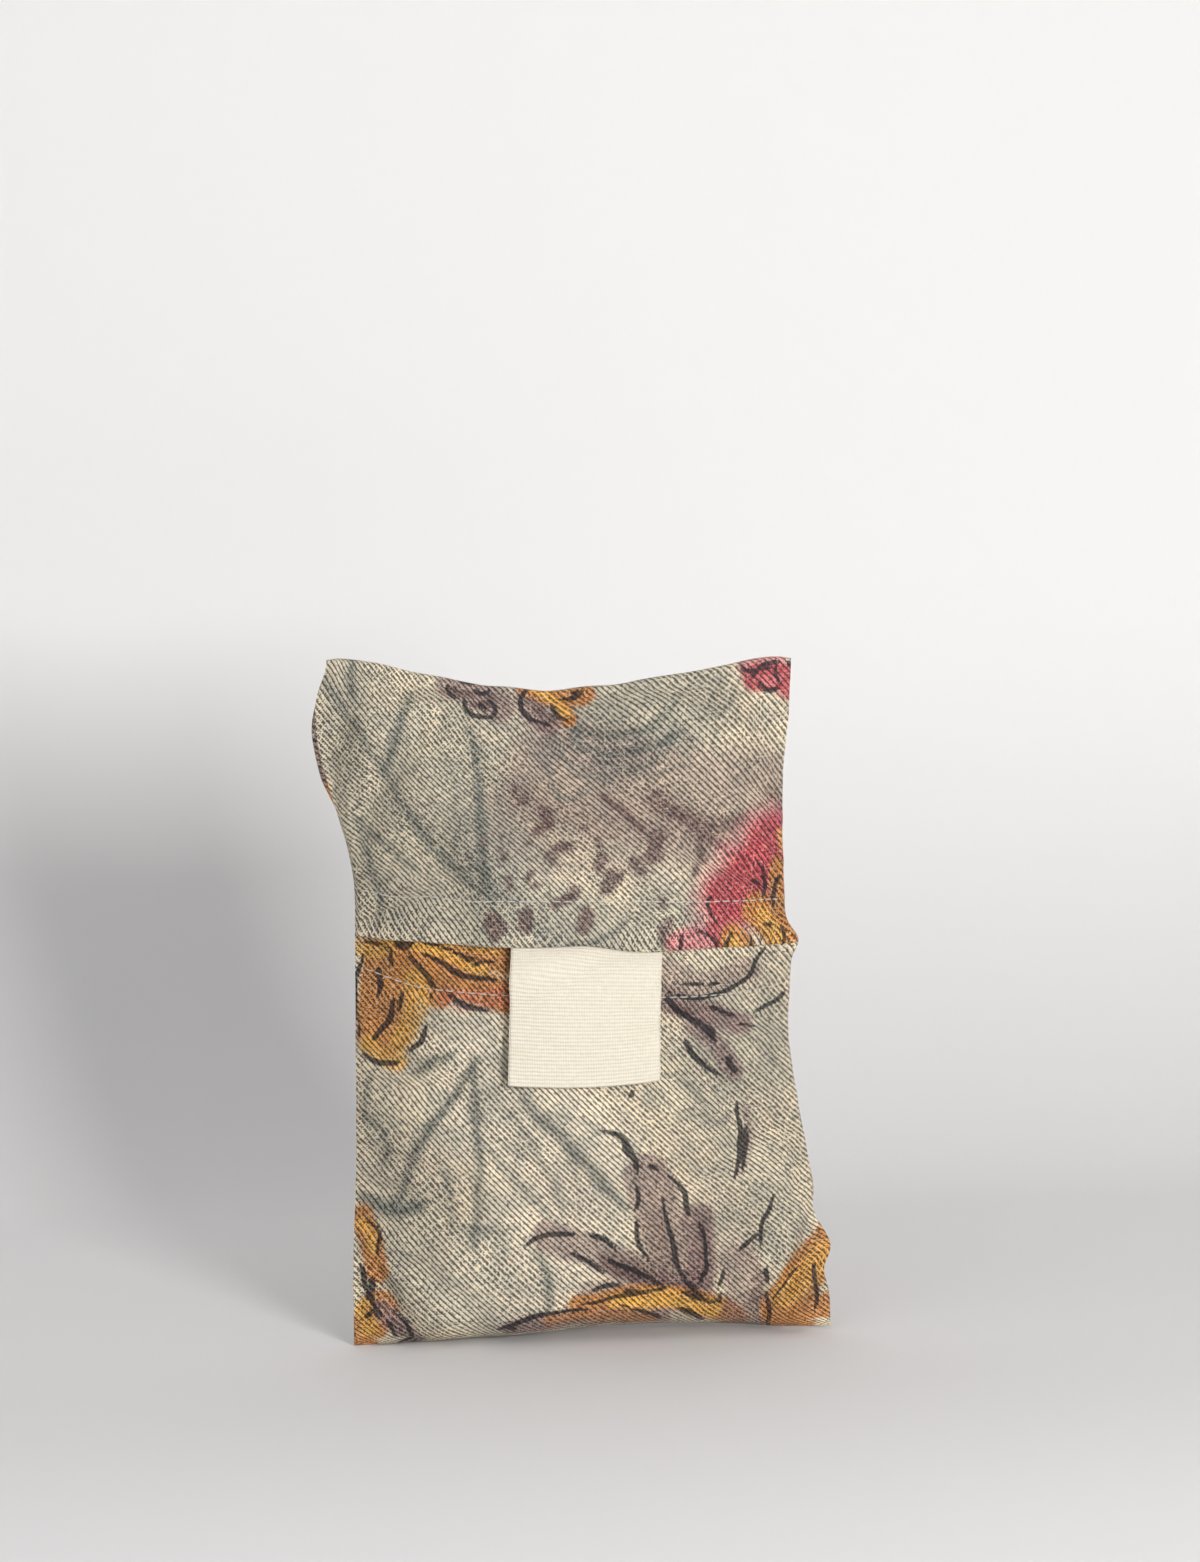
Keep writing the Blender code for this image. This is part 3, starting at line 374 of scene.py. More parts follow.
    (MAUVE, 3.5, 1.8, 0.66, ((22.1, 9), (10.5, 15.6), (-5.8, 22.7))),
    (PLUM, 1.97, 2.4, 0.81, ((22.1, 9.3), (13.9, 13.1), (7.1, 16.5))),
    (PLUM, 0.81, 1.5, 0.72, ((9.2, 14.3), (16, 10.6), (22.8, 8.9))),
    (MAUVE, 1.94, 1.6, 0.49, ((2.4, 10.6), (9.2, 10.9), (16, 9.3))),
    (OCHRE, 2.79, 1.1, 0.95, ((1, 7.1), (16, 8.6), (27.6, 6.6), (35, 2.5))),
    (GOLD, 2.2, 1.3, 0.9, ((9.2, 7.2), (18.7, 8.4), (29.6, 4.8))),
    (MAUVE, 1.94, 1.3, 0.82, ((-14, 3.3), (-1.7, 5), (18.7, 3.3))),
    (OCHRE, 1.26, 1.4, 0.66, ((-5.8, 4.6), (5.1, 5), (16, 3.5))),
    (MAUVE, 4.27, 2.6, 0.57, ((36.4, 0.7), (37.1, 7.6), (35, 14.6))),
    (PLUM, 1.62, 2.7, 0.54, ((40.5, 1.1), (39.1, 6.1), (40.5, 11.5))),
    (INK, 0.52, 0, 1, ((5.8, 44.7), (9.3, 43.5), (12.2, 39.4), (13.4, 35.1))),
    (INK, 0.78, 0, 1, ((10.4, 41.2), (12.4, 38.7))),
    (INK, 0.52, 0, 1, ((15.2, 36.7), (17.7, 35.7))),
    (INK, 0.52, 0, 1, ((19.9, 34.5), (22.8, 31.5), (24.6, 25.6))),
    (INK, 0.46, 0, 1, ((13.3, 33.2), (12.8, 27.6))),
    (INK, 0.46, 0, 1, ((13.2, 24.7), (13.3, 19.6), (16.1, 15.4))),
    (INK, 0.46, 0, 1, ((18.7, 29.6), (20.2, 21.4), (22.8, 13), (25.6, 9.3))),
    (INK, 0.46, 0, 1, ((26.5, 23.7), (28.2, 20.4), (27.9, 14.9), (26.9, 10.8))),
    (INK, 0.46, 0, 1, ((-10.6, 20.9), (-7.2, 23), (-0.2, 22.8))),
    (INK, 0.46, 0, 1, ((2.9, 22.7), (6.4, 21.6), (8.5, 19.2))),
    (INK, 0.57, 0, 1, ((-1.2, 18.8), (1.8, 16.7), (5.9, 14.1))),
    (INK, 0.46, 0, 1, ((3.4, 10.7), (6.4, 11.6), (10, 10.9))),
    (INK, 0.46, 0, 1, ((7, 17.3), (11.9, 14.5), (19.5, 10.3))),
    (INK, 0.52, 0, 1, ((10.9, 9.8), (13.9, 9.4))),
    (INK, 0.41, 0, 1, ((0.9, 7.5), (10.5, 9.1), (18.7, 9.8))),
    (INK, 0.52, 0, 1, ((22.8, 9.1), (29.7, 6.1))),
    (INK, 0.41, 0, 1, ((9.3, 7), (14.6, 5.2), (18.2, 3.6))),
    (INK, 0.46, 0, 1, ((22.1, 5.1), (25.5, 4), (27.7, 2.4))),
    (INK, 0.46, 0, 1, ((-16.7, 3), (-11.3, 4.8), (-5.8, 6.2), (3, 6.5))),
    (INK, 0.46, 0, 1, ((32, 13.7), (30.7, 9.8))),
    (INK, 0.41, 0, 1, ((31, 8.5), (31, 5.6))),
    (INK, 0.46, 0, 1, ((40.5, 13.6), (41.6, 10.1))),
    (INK, 0.46, 0, 1, ((41.3, 8), (42, 3.1), (41.2, 0.3))),
    (INK, 0.46, 0, 1, ((43.1, 29.1), (40.6, 23.3), (39.8, 17.7))),
    (INK, 0.46, 0, 1, ((35, 17.6), (38.3, 19.8), (39.9, 20.6))),
    (INK, 0.52, 0, 1, ((24.1, 10.9), (27.6, 7.3))),
    (INK, 0.41, 0, 1, ((-15.3, 3.7), (-12.6, 2.9))),
    (OCHRE, 4.69, 1.4, 0.95, ((44.6, 3.7), (50, 11.1), (56, 17.8))),
    (GOLD, 2.85, 2.1, 0.63, ((45.3, 6.5), (50, 10.4), (54.1, 15.1))),
    (OCHRE, 3.16, 1.4, 0.95, ((48.7, 2.1), (52.7, 3.3), (56.8, 3.8))),
    (INK, 0.46, 0, 1, ((51.4, 13.1), (52.7, 7.5), (52.1, 3.2))),
    (INK, 0.31, 0, 1, ((42.7, 5.3), (45.9, 9.9), (49.3, 13.2))),
    (OCHRE, 2.53, 1.1, 0.95, ((-46, 27.8), (-43.6, 23.1), (-42.6, 16.5))),
    (GOLD, 1.04, 1.2, 0.72, ((-46, 26.8), (-43.9, 24.5), (-43.3, 21.1))),
    (OCHRE, 4.18, 1.1, 0.95, ((-47.7, -0.3), (-45.3, 4.2), (-41.9, 8.6))),
    (GOLD, 1.94, 1.3, 0.81, ((-45.3, 8.8), (-43.9, 6.1), (-44.6, 2.8))),
    (MAUVE, 2.2, 1.6, 0.82, ((-41.2, 8.6), (-37.8, 5.1), (-34.1, 1))),
    (PLUM, 0.76, 1.4, 0.72, ((-39.2, 6.2), (-36.8, 3.8))),
    (INK, 0.46, 0, 1, ((-44.8, 27.2), (-41.5, 25), (-42.4, 20.3))),
    (INK, 0.57, 0, 1, ((-46, 18), (-44.5, 12), (-41.1, 7.3))),
    (INK, 0.41, 0, 1, ((-39.2, 8.7), (-35.8, 5), (-33.9, 1.4))),
    (INK, 0.41, 0, 1, ((-40.7, 6.8), (-37.7, 1.7))),
    (INK, 0.41, 0, 1, ((-45.3, 7.5), (-43.3, 8.7))),
    (INK, 0.41, 0, 1, ((-47.4, 3.6), (-46.3, 0.3))),
    (INK, 0.41, 0, 1, ((-37.8, 1.2), (-34.4, 0.6))),
    (INK, 0.52, 0, 1, ((-43.9, 15.3), (-42.9, 11.9))),
)

# Where the prints sit, in millimetres and degrees
PRINT_TURN = 8.0
PRINT_TILT = 9.0
PRINT_LOWER = 1.6
BACK_POCKET_TOP = POUCH_HEIGHT - 1.0
BACK_FLAP_TOP = POUCH_HEIGHT + 4.0
BACK_PRINT_JOIN = 66.0
BACK_JOIN_WAVE = 5.0
BACK_JOIN_LENGTH = 8.0
BACK_JOIN_SOFT = 14.0
RIM = 0.86
RIM_SOFT = 0.06
BASE_JOIN = 1.0
BASE_JOIN_SOFT = 6.0
POCKET_FOOT = -1.86
POCKET_FOOT_RISE = 0.054
POCKET_PRINT_HEIGHT = 82.1

# The points across the strip and its rows on each panel, and how its turn at the bottom is softened
STRIP_COLUMNS = 150
FLAP_LEAF_ROWS = 10
TURN_ROWS = 6
FLAP_ROWS = 94
CROWN_ROWS = 7
BACK_ROWS = 182
BASE_ROWS = 24
POCKET_ROWS = 134
POCKET_LEAF_ROWS = 20
BASE_SOFTENING = 110
SOFTENED_ROWS = 3.0
SOFTENED_FALL = 6.0

# The swelling of the filled cloth: its grid, how stiff it is, and what is kept of the outcome
CAGE_ROWS = 72
CAGE_COLUMNS = 50
CAGE_BASE = (0.25, 0.5, 0.75)
CAGE_SCALE = 0.01
CAGE_QUALITY = 6
CAGE_MASS = 0.3
CAGE_STIFFNESS = 15.0
CAGE_BENDING = 0.5
CAGE_PRESSURE = 4.0
CAGE_FRAMES = 20
CAGE_SLACK = 0.05
CAGE_CAP = 3.0
CAGE_EVEN = 40
CAGE_START = 0.9
CAGE_GAIN = 1.2
CAGE_THIN = 7.0
HELD_ACROSS = 0.10
HELD_UP = 0.06
FLOOR_LIFT = 0.05
# The front and the back are each moved out by this much, in full from this far inside the seams
APART = 0.22
APART_FROM = 3.0
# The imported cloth: its gap to the pouch, the fineness of its mesh in metres, and how often it is eased
PACKET_GAP = 0.45
PACKET_VOXEL = 0.0011
PACKET_EASING = 6

# The threads of the cloth, the tape and the stitches, with the heights of their relief in metres
WEAVE_PITCH = 0.70
TWILL_PITCH = 1.37
WEAVE_RELIEF = 0.00016
THREAD_RELIEF = 0.00005
CHARCOAL = (0.040, 0.042, 0.040)
CREAM = (0.86, 0.80, 0.66)
RIB_PITCH = 0.8
TAPE_THREAD = 0.35
LABEL_CREAM = (0.81, 0.75, 0.63)
LABEL_WORN = (0.74, 0.66, 0.52)
LABEL_LEAN = 0.6
LABEL_BOW = 0.8
LABEL_TILT = 0.9
LABEL_LIFT = 0.9
LABEL_LIFT_BELOW = 6.0
INNER_LIFT = 0.4
LABEL_WAVE = 0.25
LABEL_ROWS = 56
LABEL_TURN_ROWS = 9
LABEL_COLUMNS = 48
STITCH = 2.4
STITCH_THREAD = 0.29
STITCH_SUNK = 0.10
STITCH_GAP = 0.14
STITCH_SIDES = 8
STITCH_RINGS = 9
STITCH_SAMPLES = 600
PLY_ALONG = 12.0
PLY_AROUND = 2.0
THREAD_SHADE = (0.38, 0.36, 0.33)
THREAD_WHITE = (0.76, 0.74, 0.70)
FLAP_STITCH_UP = 9.2
POCKET_STITCH_DOWN = 22.9
STITCH_REACH = 0.965

# The stage in millimetres; its glow, the lights and the view in metres and degrees; the frame in pixels
WALL_Y = 250.0
SWEEP = 130.0
FLOOR_REACH = 9000.0
WALL_TOP = 1600.0
FLOOR_COLOUR = (0.72, 0.71, 0.715)
WALL_COLOUR = (0.86, 0.855, 0.85)
NEAR_GLOW = 0.07
NEAR_GLOW_SPAN = (-0.03, -0.17)
FAR_GLOW = 0.75
FAR_GLOW_SPAN = (0.66, 1.00)
SKY_COLOUR = (1.0, 1.0, 1.0)
SKY_STRENGTH = 0.34
RAYS = ("Camera", "Glossy", "Transmission")
# Name, bearing and height in degrees, distance, size, power and colour
LAMPS = (
    ("key", 20.0, 12.0, 0.95, 0.26, 7.2, (1.0, 0.985, 0.965)),
    ("fill", -50.0, 40.0, 1.2, 0.9, 1.8, (0.96, 0.98, 1.0)),
    ("top", 10.0, 80.0, 1.1, 0.8, 0.8, (1.0, 1.0, 1.0)),
    ("back", 170.0, 52.0, 1.2, 0.9, 3.2, (1.0, 0.99, 0.98)),
)
LOOK_AT = (0.0, 0.0, 0.0735)
LENS = 85.0
SENSOR = 36.0
FRAME_WIDTH = 1200.0
FRAME_HEIGHT = 1562.0
LOOK_X = 575.0
LOOK_Y = 1000.0
VIEW_TURN = -8.0
VIEW_RISE = 9.0
VIEW_FAR = 0.7955

# The colours that show where the back's cloth rolls past the seams, in millimetres right and up
EDGE_PRINT = (
    (GREY, 9.0, 8.0, 0.5, ((-50.0, 60.0), (-50.0, 20.0))),
    (GREY, 9.0, 8.0, 0.5, ((50.0, 130.0), (48.0, 90.0))),
    (OCHRE, 2.4, 1.0, 1.0, ((54.0, 8.0), (50.5, 30.0), (47.5, 56.0))),
    (CRIMSON, 1.6, 1.0, 0.8, ((49.0, 34.0), (48.0, 44.0))),
    (PLUM, 2.4, 1.5, 0.9, ((-54.0, 138.0), (-54.0, 128.0), (-51.0, 118.0))),
    (OCHRE, 1.6, 1.0, 0.8, ((-52.0, 120.0), (-50.0, 114.0))),
    (PLUM, 1.4, 1.0, 0.8, ((-47.0, 84.0), (-47.0, 70.0))),
)


def smooth(share):
    share = np.clip(share, 0.0, 1.0)
    return share * share * (3.0 - 2.0 * share)


def mix(first, second, share):
    return first + (second - first) * share


def wobble(u, v, size, seed):
    """A smooth wandering value from about -1 to 1, whose waves are about this size."""
    rng = np.random.default_rng(seed)
    total = np.zeros(np.broadcast(u, v).shape)
    for _ in range(7):
        angle, phase = rng.uniform(0.0, 2.0 * math.pi, 2)
        rate = 2.0 * math.pi / (size * rng.uniform(0.7, 1.7))
        total += np.sin(rate * (u * math.cos(angle) + v * math.sin(angle)) + phase)
    return total / 3.5


def path_distance(u, v, points):
    """The distance to a line of points, and the share of the line's length at its nearest place."""
    points = np.asarray(points, float)
    spans = np.hypot(*(points[1:] - points[:-1]).T)
    starts = np.concatenate([[0.0], np.cumsum(spans)]) / max(spans.sum(), 1e-9)
    nearest = np.full(np.broadcast(u, v).shape, 1e9)
    place = np.zeros(nearest.shape)
    for (x0, y0), (x1, y1), low, high in zip(points, points[1:], starts, starts[1:]):
        along = ((u - x0) * (x1 - x0) + (v - y0) * (y1 - y0)) / max((x1 - x0) ** 2 + (y1 - y0) ** 2, 1e-9)
        along = np.clip(along, 0.0, 1.0)
        far = np.hypot(u - x0 - along * (x1 - x0), v - y0 - along * (y1 - y0))
        place = np.where(far < nearest, mix(low, high, along), place)
        nearest = np.minimum(nearest, far)
    return nearest, place


def curved(points):
    """A finer line through the points, with its corners rounded."""
    points = np.asarray(points, float)
    for _ in range(2):
        cut = np.empty((2 * len(points), 2))
        cut[0], cut[-1] = points[0], points[-1]
        cut[1:-1:2] = mix(points[:-1], points[1:], 0.25)
        cut[2:-1:2] = mix(points[:-1], points[1:], 0.75)
        points = cut
    return points


# The pouch's surface


def seam_shift(seam, up):
    shift = np.full(np.shape(up), seam[0][1])
    for (low, before), (high, after) in zip(seam, seam[1:]):
        shift = np.where(up > low, mix(before, after, smooth((up - low) / (high - low))), shift)
    return shift


def half_width(up):
    return (POUCH_WIDTH + seam_shift(RIGHT_SEAM, up) - seam_shift(LEFT_SEAM, up)) / 2.0


def middle_x(up):
    return (seam_shift(RIGHT_SEAM, up) + seam_shift(LEFT_SEAM, up)) / 2.0


def top_height(across):
    sag = TOP_SAG * (1.0 - across**2) ** SAG_POWER
    return POUCH_HEIGHT - CLOTH - CROWN_HALF / 2.0 - sag + 0.3 * wobble(across, 0.0 * across, 0.35, 41)


def filling(across, up):
    above = (up - WIDEST_UP) / (1.0 - WIDEST_UP)
    below = (WIDEST_UP - up) / (WIDEST_UP + FLOOR_PRESS)
    rise = np.clip(np.where(up > WIDEST_UP, above, below), 0.0, None)
    reach = (np.abs(across) ** CORNER_SHARPNESS + rise**CORNER_SHARPNESS) ** (1.0 / CORNER_SHARPNESS)
    return (1.0 - np.clip(reach, 0.0, 1.0) ** FILL_POWER) ** FILL_FALL


def fold_bump(across, up, folds):
    bump = np.zeros(np.broadcast(across, up).shape)
    u, v = across * POUCH_WIDTH / 2.0, up * POUCH_HEIGHT
    for half, height, points in folds:
        line = [(a * POUCH_WIDTH / 2.0, b * POUCH_HEIGHT) for a, b in points]
        far, place = path_distance(u, v, curved(line) if len(line) > 2 else line)
        ends = smooth(4.0 * place + 0.35), smooth(4.0 - 4.0 * place + 0.35)
        bump += height * np.exp(-((far / half) ** 2)) * ends[0] * ends[1]
    return bump


def half_depth(across, up, side):
    across, up, side = np.broadcast_arrays(across, up, side)
    full = filling(across, up)
    folds = np.zeros(across.shape)
    for front, lines in ((True, FRONT_FOLDS), (False, BACK_FOLDS)):
        here = (side < 0) == front
        folds[here] = fold_bump(across[here], up[here], lines)
    crown = CROWN_HALF * smooth((up - 0.93) / 0.07) * (1.0 - across**8)
    deep = np.where(side < 0, FRONT_DEPTH, BACK_DEPTH) * full + folds * np.minimum(1.0, FOLD_FADE * full)
    return SEAM_HALF + np.maximum(deep, crown)


def from_seam(across):
    return (1.0 - np.abs(across)) * POUCH_WIDTH / 2.0


def ripple(across, up):
    """The small puckers that the seam's stitches draw in the cloth beside it."""
    near = np.exp(-from_seam(across) / PUCKER_REACH)
    right = np.where(across > 0, 1.0, 0.0)
    v = up * POUCH_HEIGHT
    wave = mix(wobble(v, 0.0 * v, 8.0, 5), wobble(v, 0.0 * v, 7.0, 6), right)
    return PUCKER_DEPTH * near * wave * smooth((up + 0.02) / 0.08)


def pouch(across, up, side):
    """The point of the pouch's cloth at a place across and up, on its front or back."""
    x = middle_x(up) + across * half_width(up)
    inside = from_seam(across)
    depth = half_depth(across, up, side) + APART * smooth(inside / APART_FROM)
    y = side * depth + ripple(across, up)
    z = CLOTH / 2.0 + (top_height(across) - CLOTH / 2.0) * up
    lobe = inside / ROLL_PLACE * np.exp(1.0 - inside / ROLL_PLACE)
    for edge, low, high, far in ROLLS:
        stretch = smooth((up - low) / 0.08) * smooth((high - up) / 0.08)
        x = x + np.where((side > 0) & (edge * across > 0), edge * far, 0.0) * lobe * stretch
    points = np.stack(np.broadcast_arrays(x, y, z), -1)
    for at_across, at_up, reach, pull in PULLS:
        far = np.hypot((across - at_across) * POUCH_WIDTH / 2.0, (up - at_up) * POUCH_HEIGHT)
        points = points + np.exp(-((far / reach) ** 2))[..., None] * np.array(pull)
    return points + billow(across, up, side)


def unit(vectors):
    return vectors / np.maximum(np.linalg.norm(vectors, axis=-1, keepdims=True), 1e-9)


def on_pouch(across, up, side, out=0.0, along=0.0):
    """A point this far out from the cloth, and moved along it upwards."""
    given = [np.asarray(value, float) for value in (across, up, side, out, along)]
    across, up, side, out, along = np.broadcast_arrays(*given)
    inner = np.clip(across, -1.0 + 4.0 * PROBE, 1.0 - 4.0 * PROBE)
    low, high = np.clip(up - PROBE, -0.01, 1.0 - PROBE), np.clip(up + PROBE, 0.0, 1.0)
    sideways = pouch(inner + PROBE, up, side) - pouch(inner - PROBE, up, side)
    upwards = unit(pouch(inner, high, side) - pouch(inner, low, side))
    outwards = unit(np.cross(sideways, upwards)) * np.where(side[..., None] < 0, 1.0, -1.0)
    fade = smooth(from_seam(across) / SEAM_FADE)[..., None]
    return pouch(across, up, side) + fade * (outwards * out[..., None]) + upwards * along[..., None]


def billowed():
    """How far the filled cloth moves when it is a little larger than its form and swells under pressure.

    Most of the even swell is taken off the outcome, so that its creases are left, and the cloth keeps still
    where the pouch is thin.
    """
    rows, columns = CAGE_ROWS, CAGE_COLUMNS
    across, up = np.linspace(-1.0, 1.0, columns + 1)[None, :], np.linspace(0.0, 1.0, rows + 1)[:, None]
    sides = [pouch(across, up, np.full((rows + 1, columns + 1), side)) for side in (FRONT, BACK)]
    index = np.arange(2 * (rows + 1) * (columns + 1)).reshape(2, rows + 1, columns + 1)
    index[1, :, 0], index[1, :, -1], index[1, -1] = index[0, :, 0], index[0, :, -1], index[0, -1]
    points = np.concatenate([side.reshape(-1, 3) for side in sides])
    faces = []
    for layer, turned in ((0, False), (1, True)):
        i = index[layer]
        quads = np.stack([i[:-1, :-1], i[:-1, 1:], i[1:, 1:], i[1:, :-1]], -1).reshape(-1, 4)
        faces += (quads[:, ::-1] if turned else quads).tolist()
    steps = [index[1, 0]]
    for share in CAGE_BASE:
        row = mix(sides[1][0], sides[0][0], share)
        between = len(points) + np.arange(columns - 1)
        steps.append(np.concatenate([[index[0, 0, 0]], between, [index[0, 0, -1]]]))
        points = np.concatenate([points, row[1:-1]])
    steps.append(index[0, 0])
    for low, high in zip(steps, steps[1:]):
        for k in range(columns):
            face = [low[k], low[k + 1], high[k + 1], high[k]]
            faces.append([v for n, v in enumerate(face) if v not in face[:n]])
    mesh = bpy.data.meshes.new("cage")
    faces = [[int(v) for v in face] for face in faces if len(face) > 2]
    mesh.from_pydata((points * CAGE_SCALE).tolist(), [], faces)
    cage = placed("cage", mesh)
    seams = (index[0, :, 0], index[0, :, -1], index[0, 0], index[1, 0], index[0, -1])
    pinned = set().union(*seams, range(index.size, len(points)))
    cage.vertex_groups.new(name="pinned").add([int(v) for v in pinned], 1.0, "REPLACE")
    cloth = cage.modifiers.new("Cloth", "CLOTH")
    settings = cloth.settings
    settings.quality = CAGE_QUALITY
    settings.mass = CAGE_MASS
    settings.tension_stiffness = settings.compression_stiffness = CAGE_STIFFNESS
    settings.bending_stiffness = CAGE_BENDING
    settings.use_pressure = True
    settings.uniform_pressure_force = CAGE_PRESSURE
    settings.shrink_min = -CAGE_SLACK
    settings.vertex_group_mass = "pinned"
    settings.effector_weights.gravity = 0.0
    for step in range(1, CAGE_FRAMES + 1):
        bpy.context.scene.frame_set(step)
    swollen = cage.evaluated_get(bpy.context.evaluated_depsgraph_get()).to_mesh()
    moved = np.empty(3 * len(points))
    swollen.vertices.foreach_get("co", moved)
    moved = moved.reshape(-1, 3) / CAGE_SCALE - points
    far = np.linalg.norm(moved, axis=-1, keepdims=True)
    moved *= CAGE_CAP * np.tanh(far / CAGE_CAP) / np.maximum(far, 1e-6)
    moved = moved[index]
    swell = moved.copy()
    for _ in range(CAGE_EVEN):
        padded = np.pad(swell, ((0, 0), (1, 1), (1, 1), (0, 0)), "edge")
        swell = padded[:, 2:, 1:-1] + padded[:, :-2, 1:-1] + padded[:, 1:-1, 2:] + padded[:, 1:-1, :-2]
        swell /= 4.0
    bpy.context.scene.frame_set(1)
    bpy.data.objects.remove(cage)
    near_end = np.minimum(up, 1.0 - up) / HELD_UP
    held = smooth(np.minimum((1.0 - np.abs(across)) / HELD_ACROSS, near_end))
    depth = smooth((sides[1][..., 1] - sides[0][..., 1]) / CAGE_THIN)
    return (moved - CAGE_START * swell * held[None, :, :, None]) * CAGE_GAIN * depth[None, :, :, None]


def billow(across, up, side):
    if BILLOW is None:
        return 0.0
    rows, columns = BILLOW.shape[1] - 1, BILLOW.shape[2] - 1
    c = np.clip((across + 1.0) / 2.0, 0.0, 1.0) * columns
    r = np.clip(up, 0.0, 1.0) * rows
    c, r, side = np.broadcast_arrays(c, r, side)
    layer = (side > 0).astype(int)
    c0, r0 = np.minimum(c.astype(int), columns - 1), np.minimum(r.astype(int), rows - 1)

    def weights(t):
        before, after = (3 * t**3 - 6 * t**2 + 4) / 6, (-3 * t**3 + 3 * t**2 + 3 * t + 1) / 6
        return (1 - t) ** 3 / 6, before, after, t**3 / 6

    total = np.zeros(c.shape + (3,))
    for i, wr in enumerate(weights(r - r0)):
        for j, wc in enumerate(weights(c - c0)):
            row = np.clip(r0 + i - 1, 0, rows)
            column = np.clip(c0 + j - 1, 0, columns)
            total += (wr * wc)[..., None] * BILLOW[layer, row, column]
    return total


def up_at(across, height):
    return (height - CLOTH / 2.0) / (top_height(across) - CLOTH / 2.0)


def across_at(x, up):
    return (x - middle_x(up)) / half_width(up)


# Heights of the hems, and how far each layer stands out from the pocket


def flap_hem(across):
    return FLAP_HEM - FLAP_HEM_TILT * across


def pocket_hem(across):
    return flap_hem(across) + LAP


def label_room(across):
    up = up_at(across, FLAP_HEM)
    beyond = np.abs(middle_x(up) + across * half_width(up)) - LABEL_WIDTH / 2.0
    return 1.0 - smooth(beyond / LABEL_ROOM_FALL - LABEL_ROOM_MARGIN)


def label_outer():
    return LABEL_INNER + LABEL_TAPE + LAYER_GAP


def flap_leaf_out(across):
    return mix(ON_POCKET, label_outer() + LABEL_TAPE / 2.0 + LAYER_GAP + CLOTH / 2.0, label_room(across))


def flap_stitches(across):
    return flap_hem(across) + FLAP_STITCH_UP + 0.4 * wobble(across, 0.0 * across, 0.8, 31)


def pocket_stitches(across):
    return pocket_hem(across) - POCKET_STITCH_DOWN + 2.6 * smooth((-0.72 - across) / 0.28) + 1.2 * across**2


def valley(far):
    """How far the stitches pull the cloth in at this distance from their line."""
    return VALLEY_DEPTH * np.exp(-((far / VALLEY_HALF) ** 2))


def flap_out(across, height):
    settled = smooth((height - pocket_hem(across) - FLAP_HEM_WIDTH / 2.0) / FLAP_SETTLE)
    lapped = (flap_leaf_out(across) + CLOTH + LAYER_GAP) * (1.0 - settled)
    return lapped - valley(height - flap_stitches(across))


# Objects


def placed(name, data):
    made = bpy.data.objects.new(name, data)
    bpy.context.scene.collection.objects.link(made)
    return made


def bearing(turn, rise):
    """The direction of a place this far round from the front and this high, in degrees."""
    turn, rise = math.radians(turn), math.radians(rise)
    return Vector((math.sin(turn) * math.cos(rise), -math.cos(turn) * math.cos(rise), math.sin(rise)))


def lengths_along(line):
    """The length of a line of points from its start to each point."""
    return np.concatenate([[0.0], np.cumsum(np.linalg.norm(np.diff(line, axis=0), axis=-1))])


def mesh_object(name, points, faces, uv=None, fields=()):
    """A smooth-shaded mesh from points in millimetres, with a map and named values at its points."""
    mesh = bpy.data.meshes.new(name)
    mesh.from_pydata((np.asarray(points).reshape(-1, 3) * MM).tolist(), [], np.asarray(faces).tolist())
    mesh.shade_smooth()
    corners = np.empty(len(mesh.loops), int)
    mesh.loops.foreach_get("vertex_index", corners)
    if uv is not None:
        layer = mesh.uv_layers.new(name="UVMap")
        layer.uv.foreach_set("vector", np.asarray(uv, np.float32).reshape(-1, 2)[corners].ravel())
    for field, values in fields:
        values = np.asarray(values, np.float32)
        if values.ndim > 1 and values.shape[-1] == 3:
            values = np.concatenate([values, np.ones(values.shape[:-1] + (1,), np.float32)], -1)
            made = mesh.attributes.new(field, "FLOAT_COLOR", "POINT")
            made.data.foreach_set("color", values.ravel())
        else:
            made = mesh.attributes.new(field, "FLOAT", "POINT")
            made.data.foreach_set("value", values.ravel())
    return placed(name, mesh)


def grid_faces(rows, columns):
    index = np.arange(rows * columns).reshape(rows, columns)
    return np.stack([index[:-1, :-1], index[:-1, 1:], index[1:, 1:], index[1:, :-1]], -1).reshape(-1, 4)


def grid_object(name, points, uv, fields=()):
    rows, columns = points.shape[:2]
    return mesh_object(name, points, grid_faces(rows, columns), uv, fields)


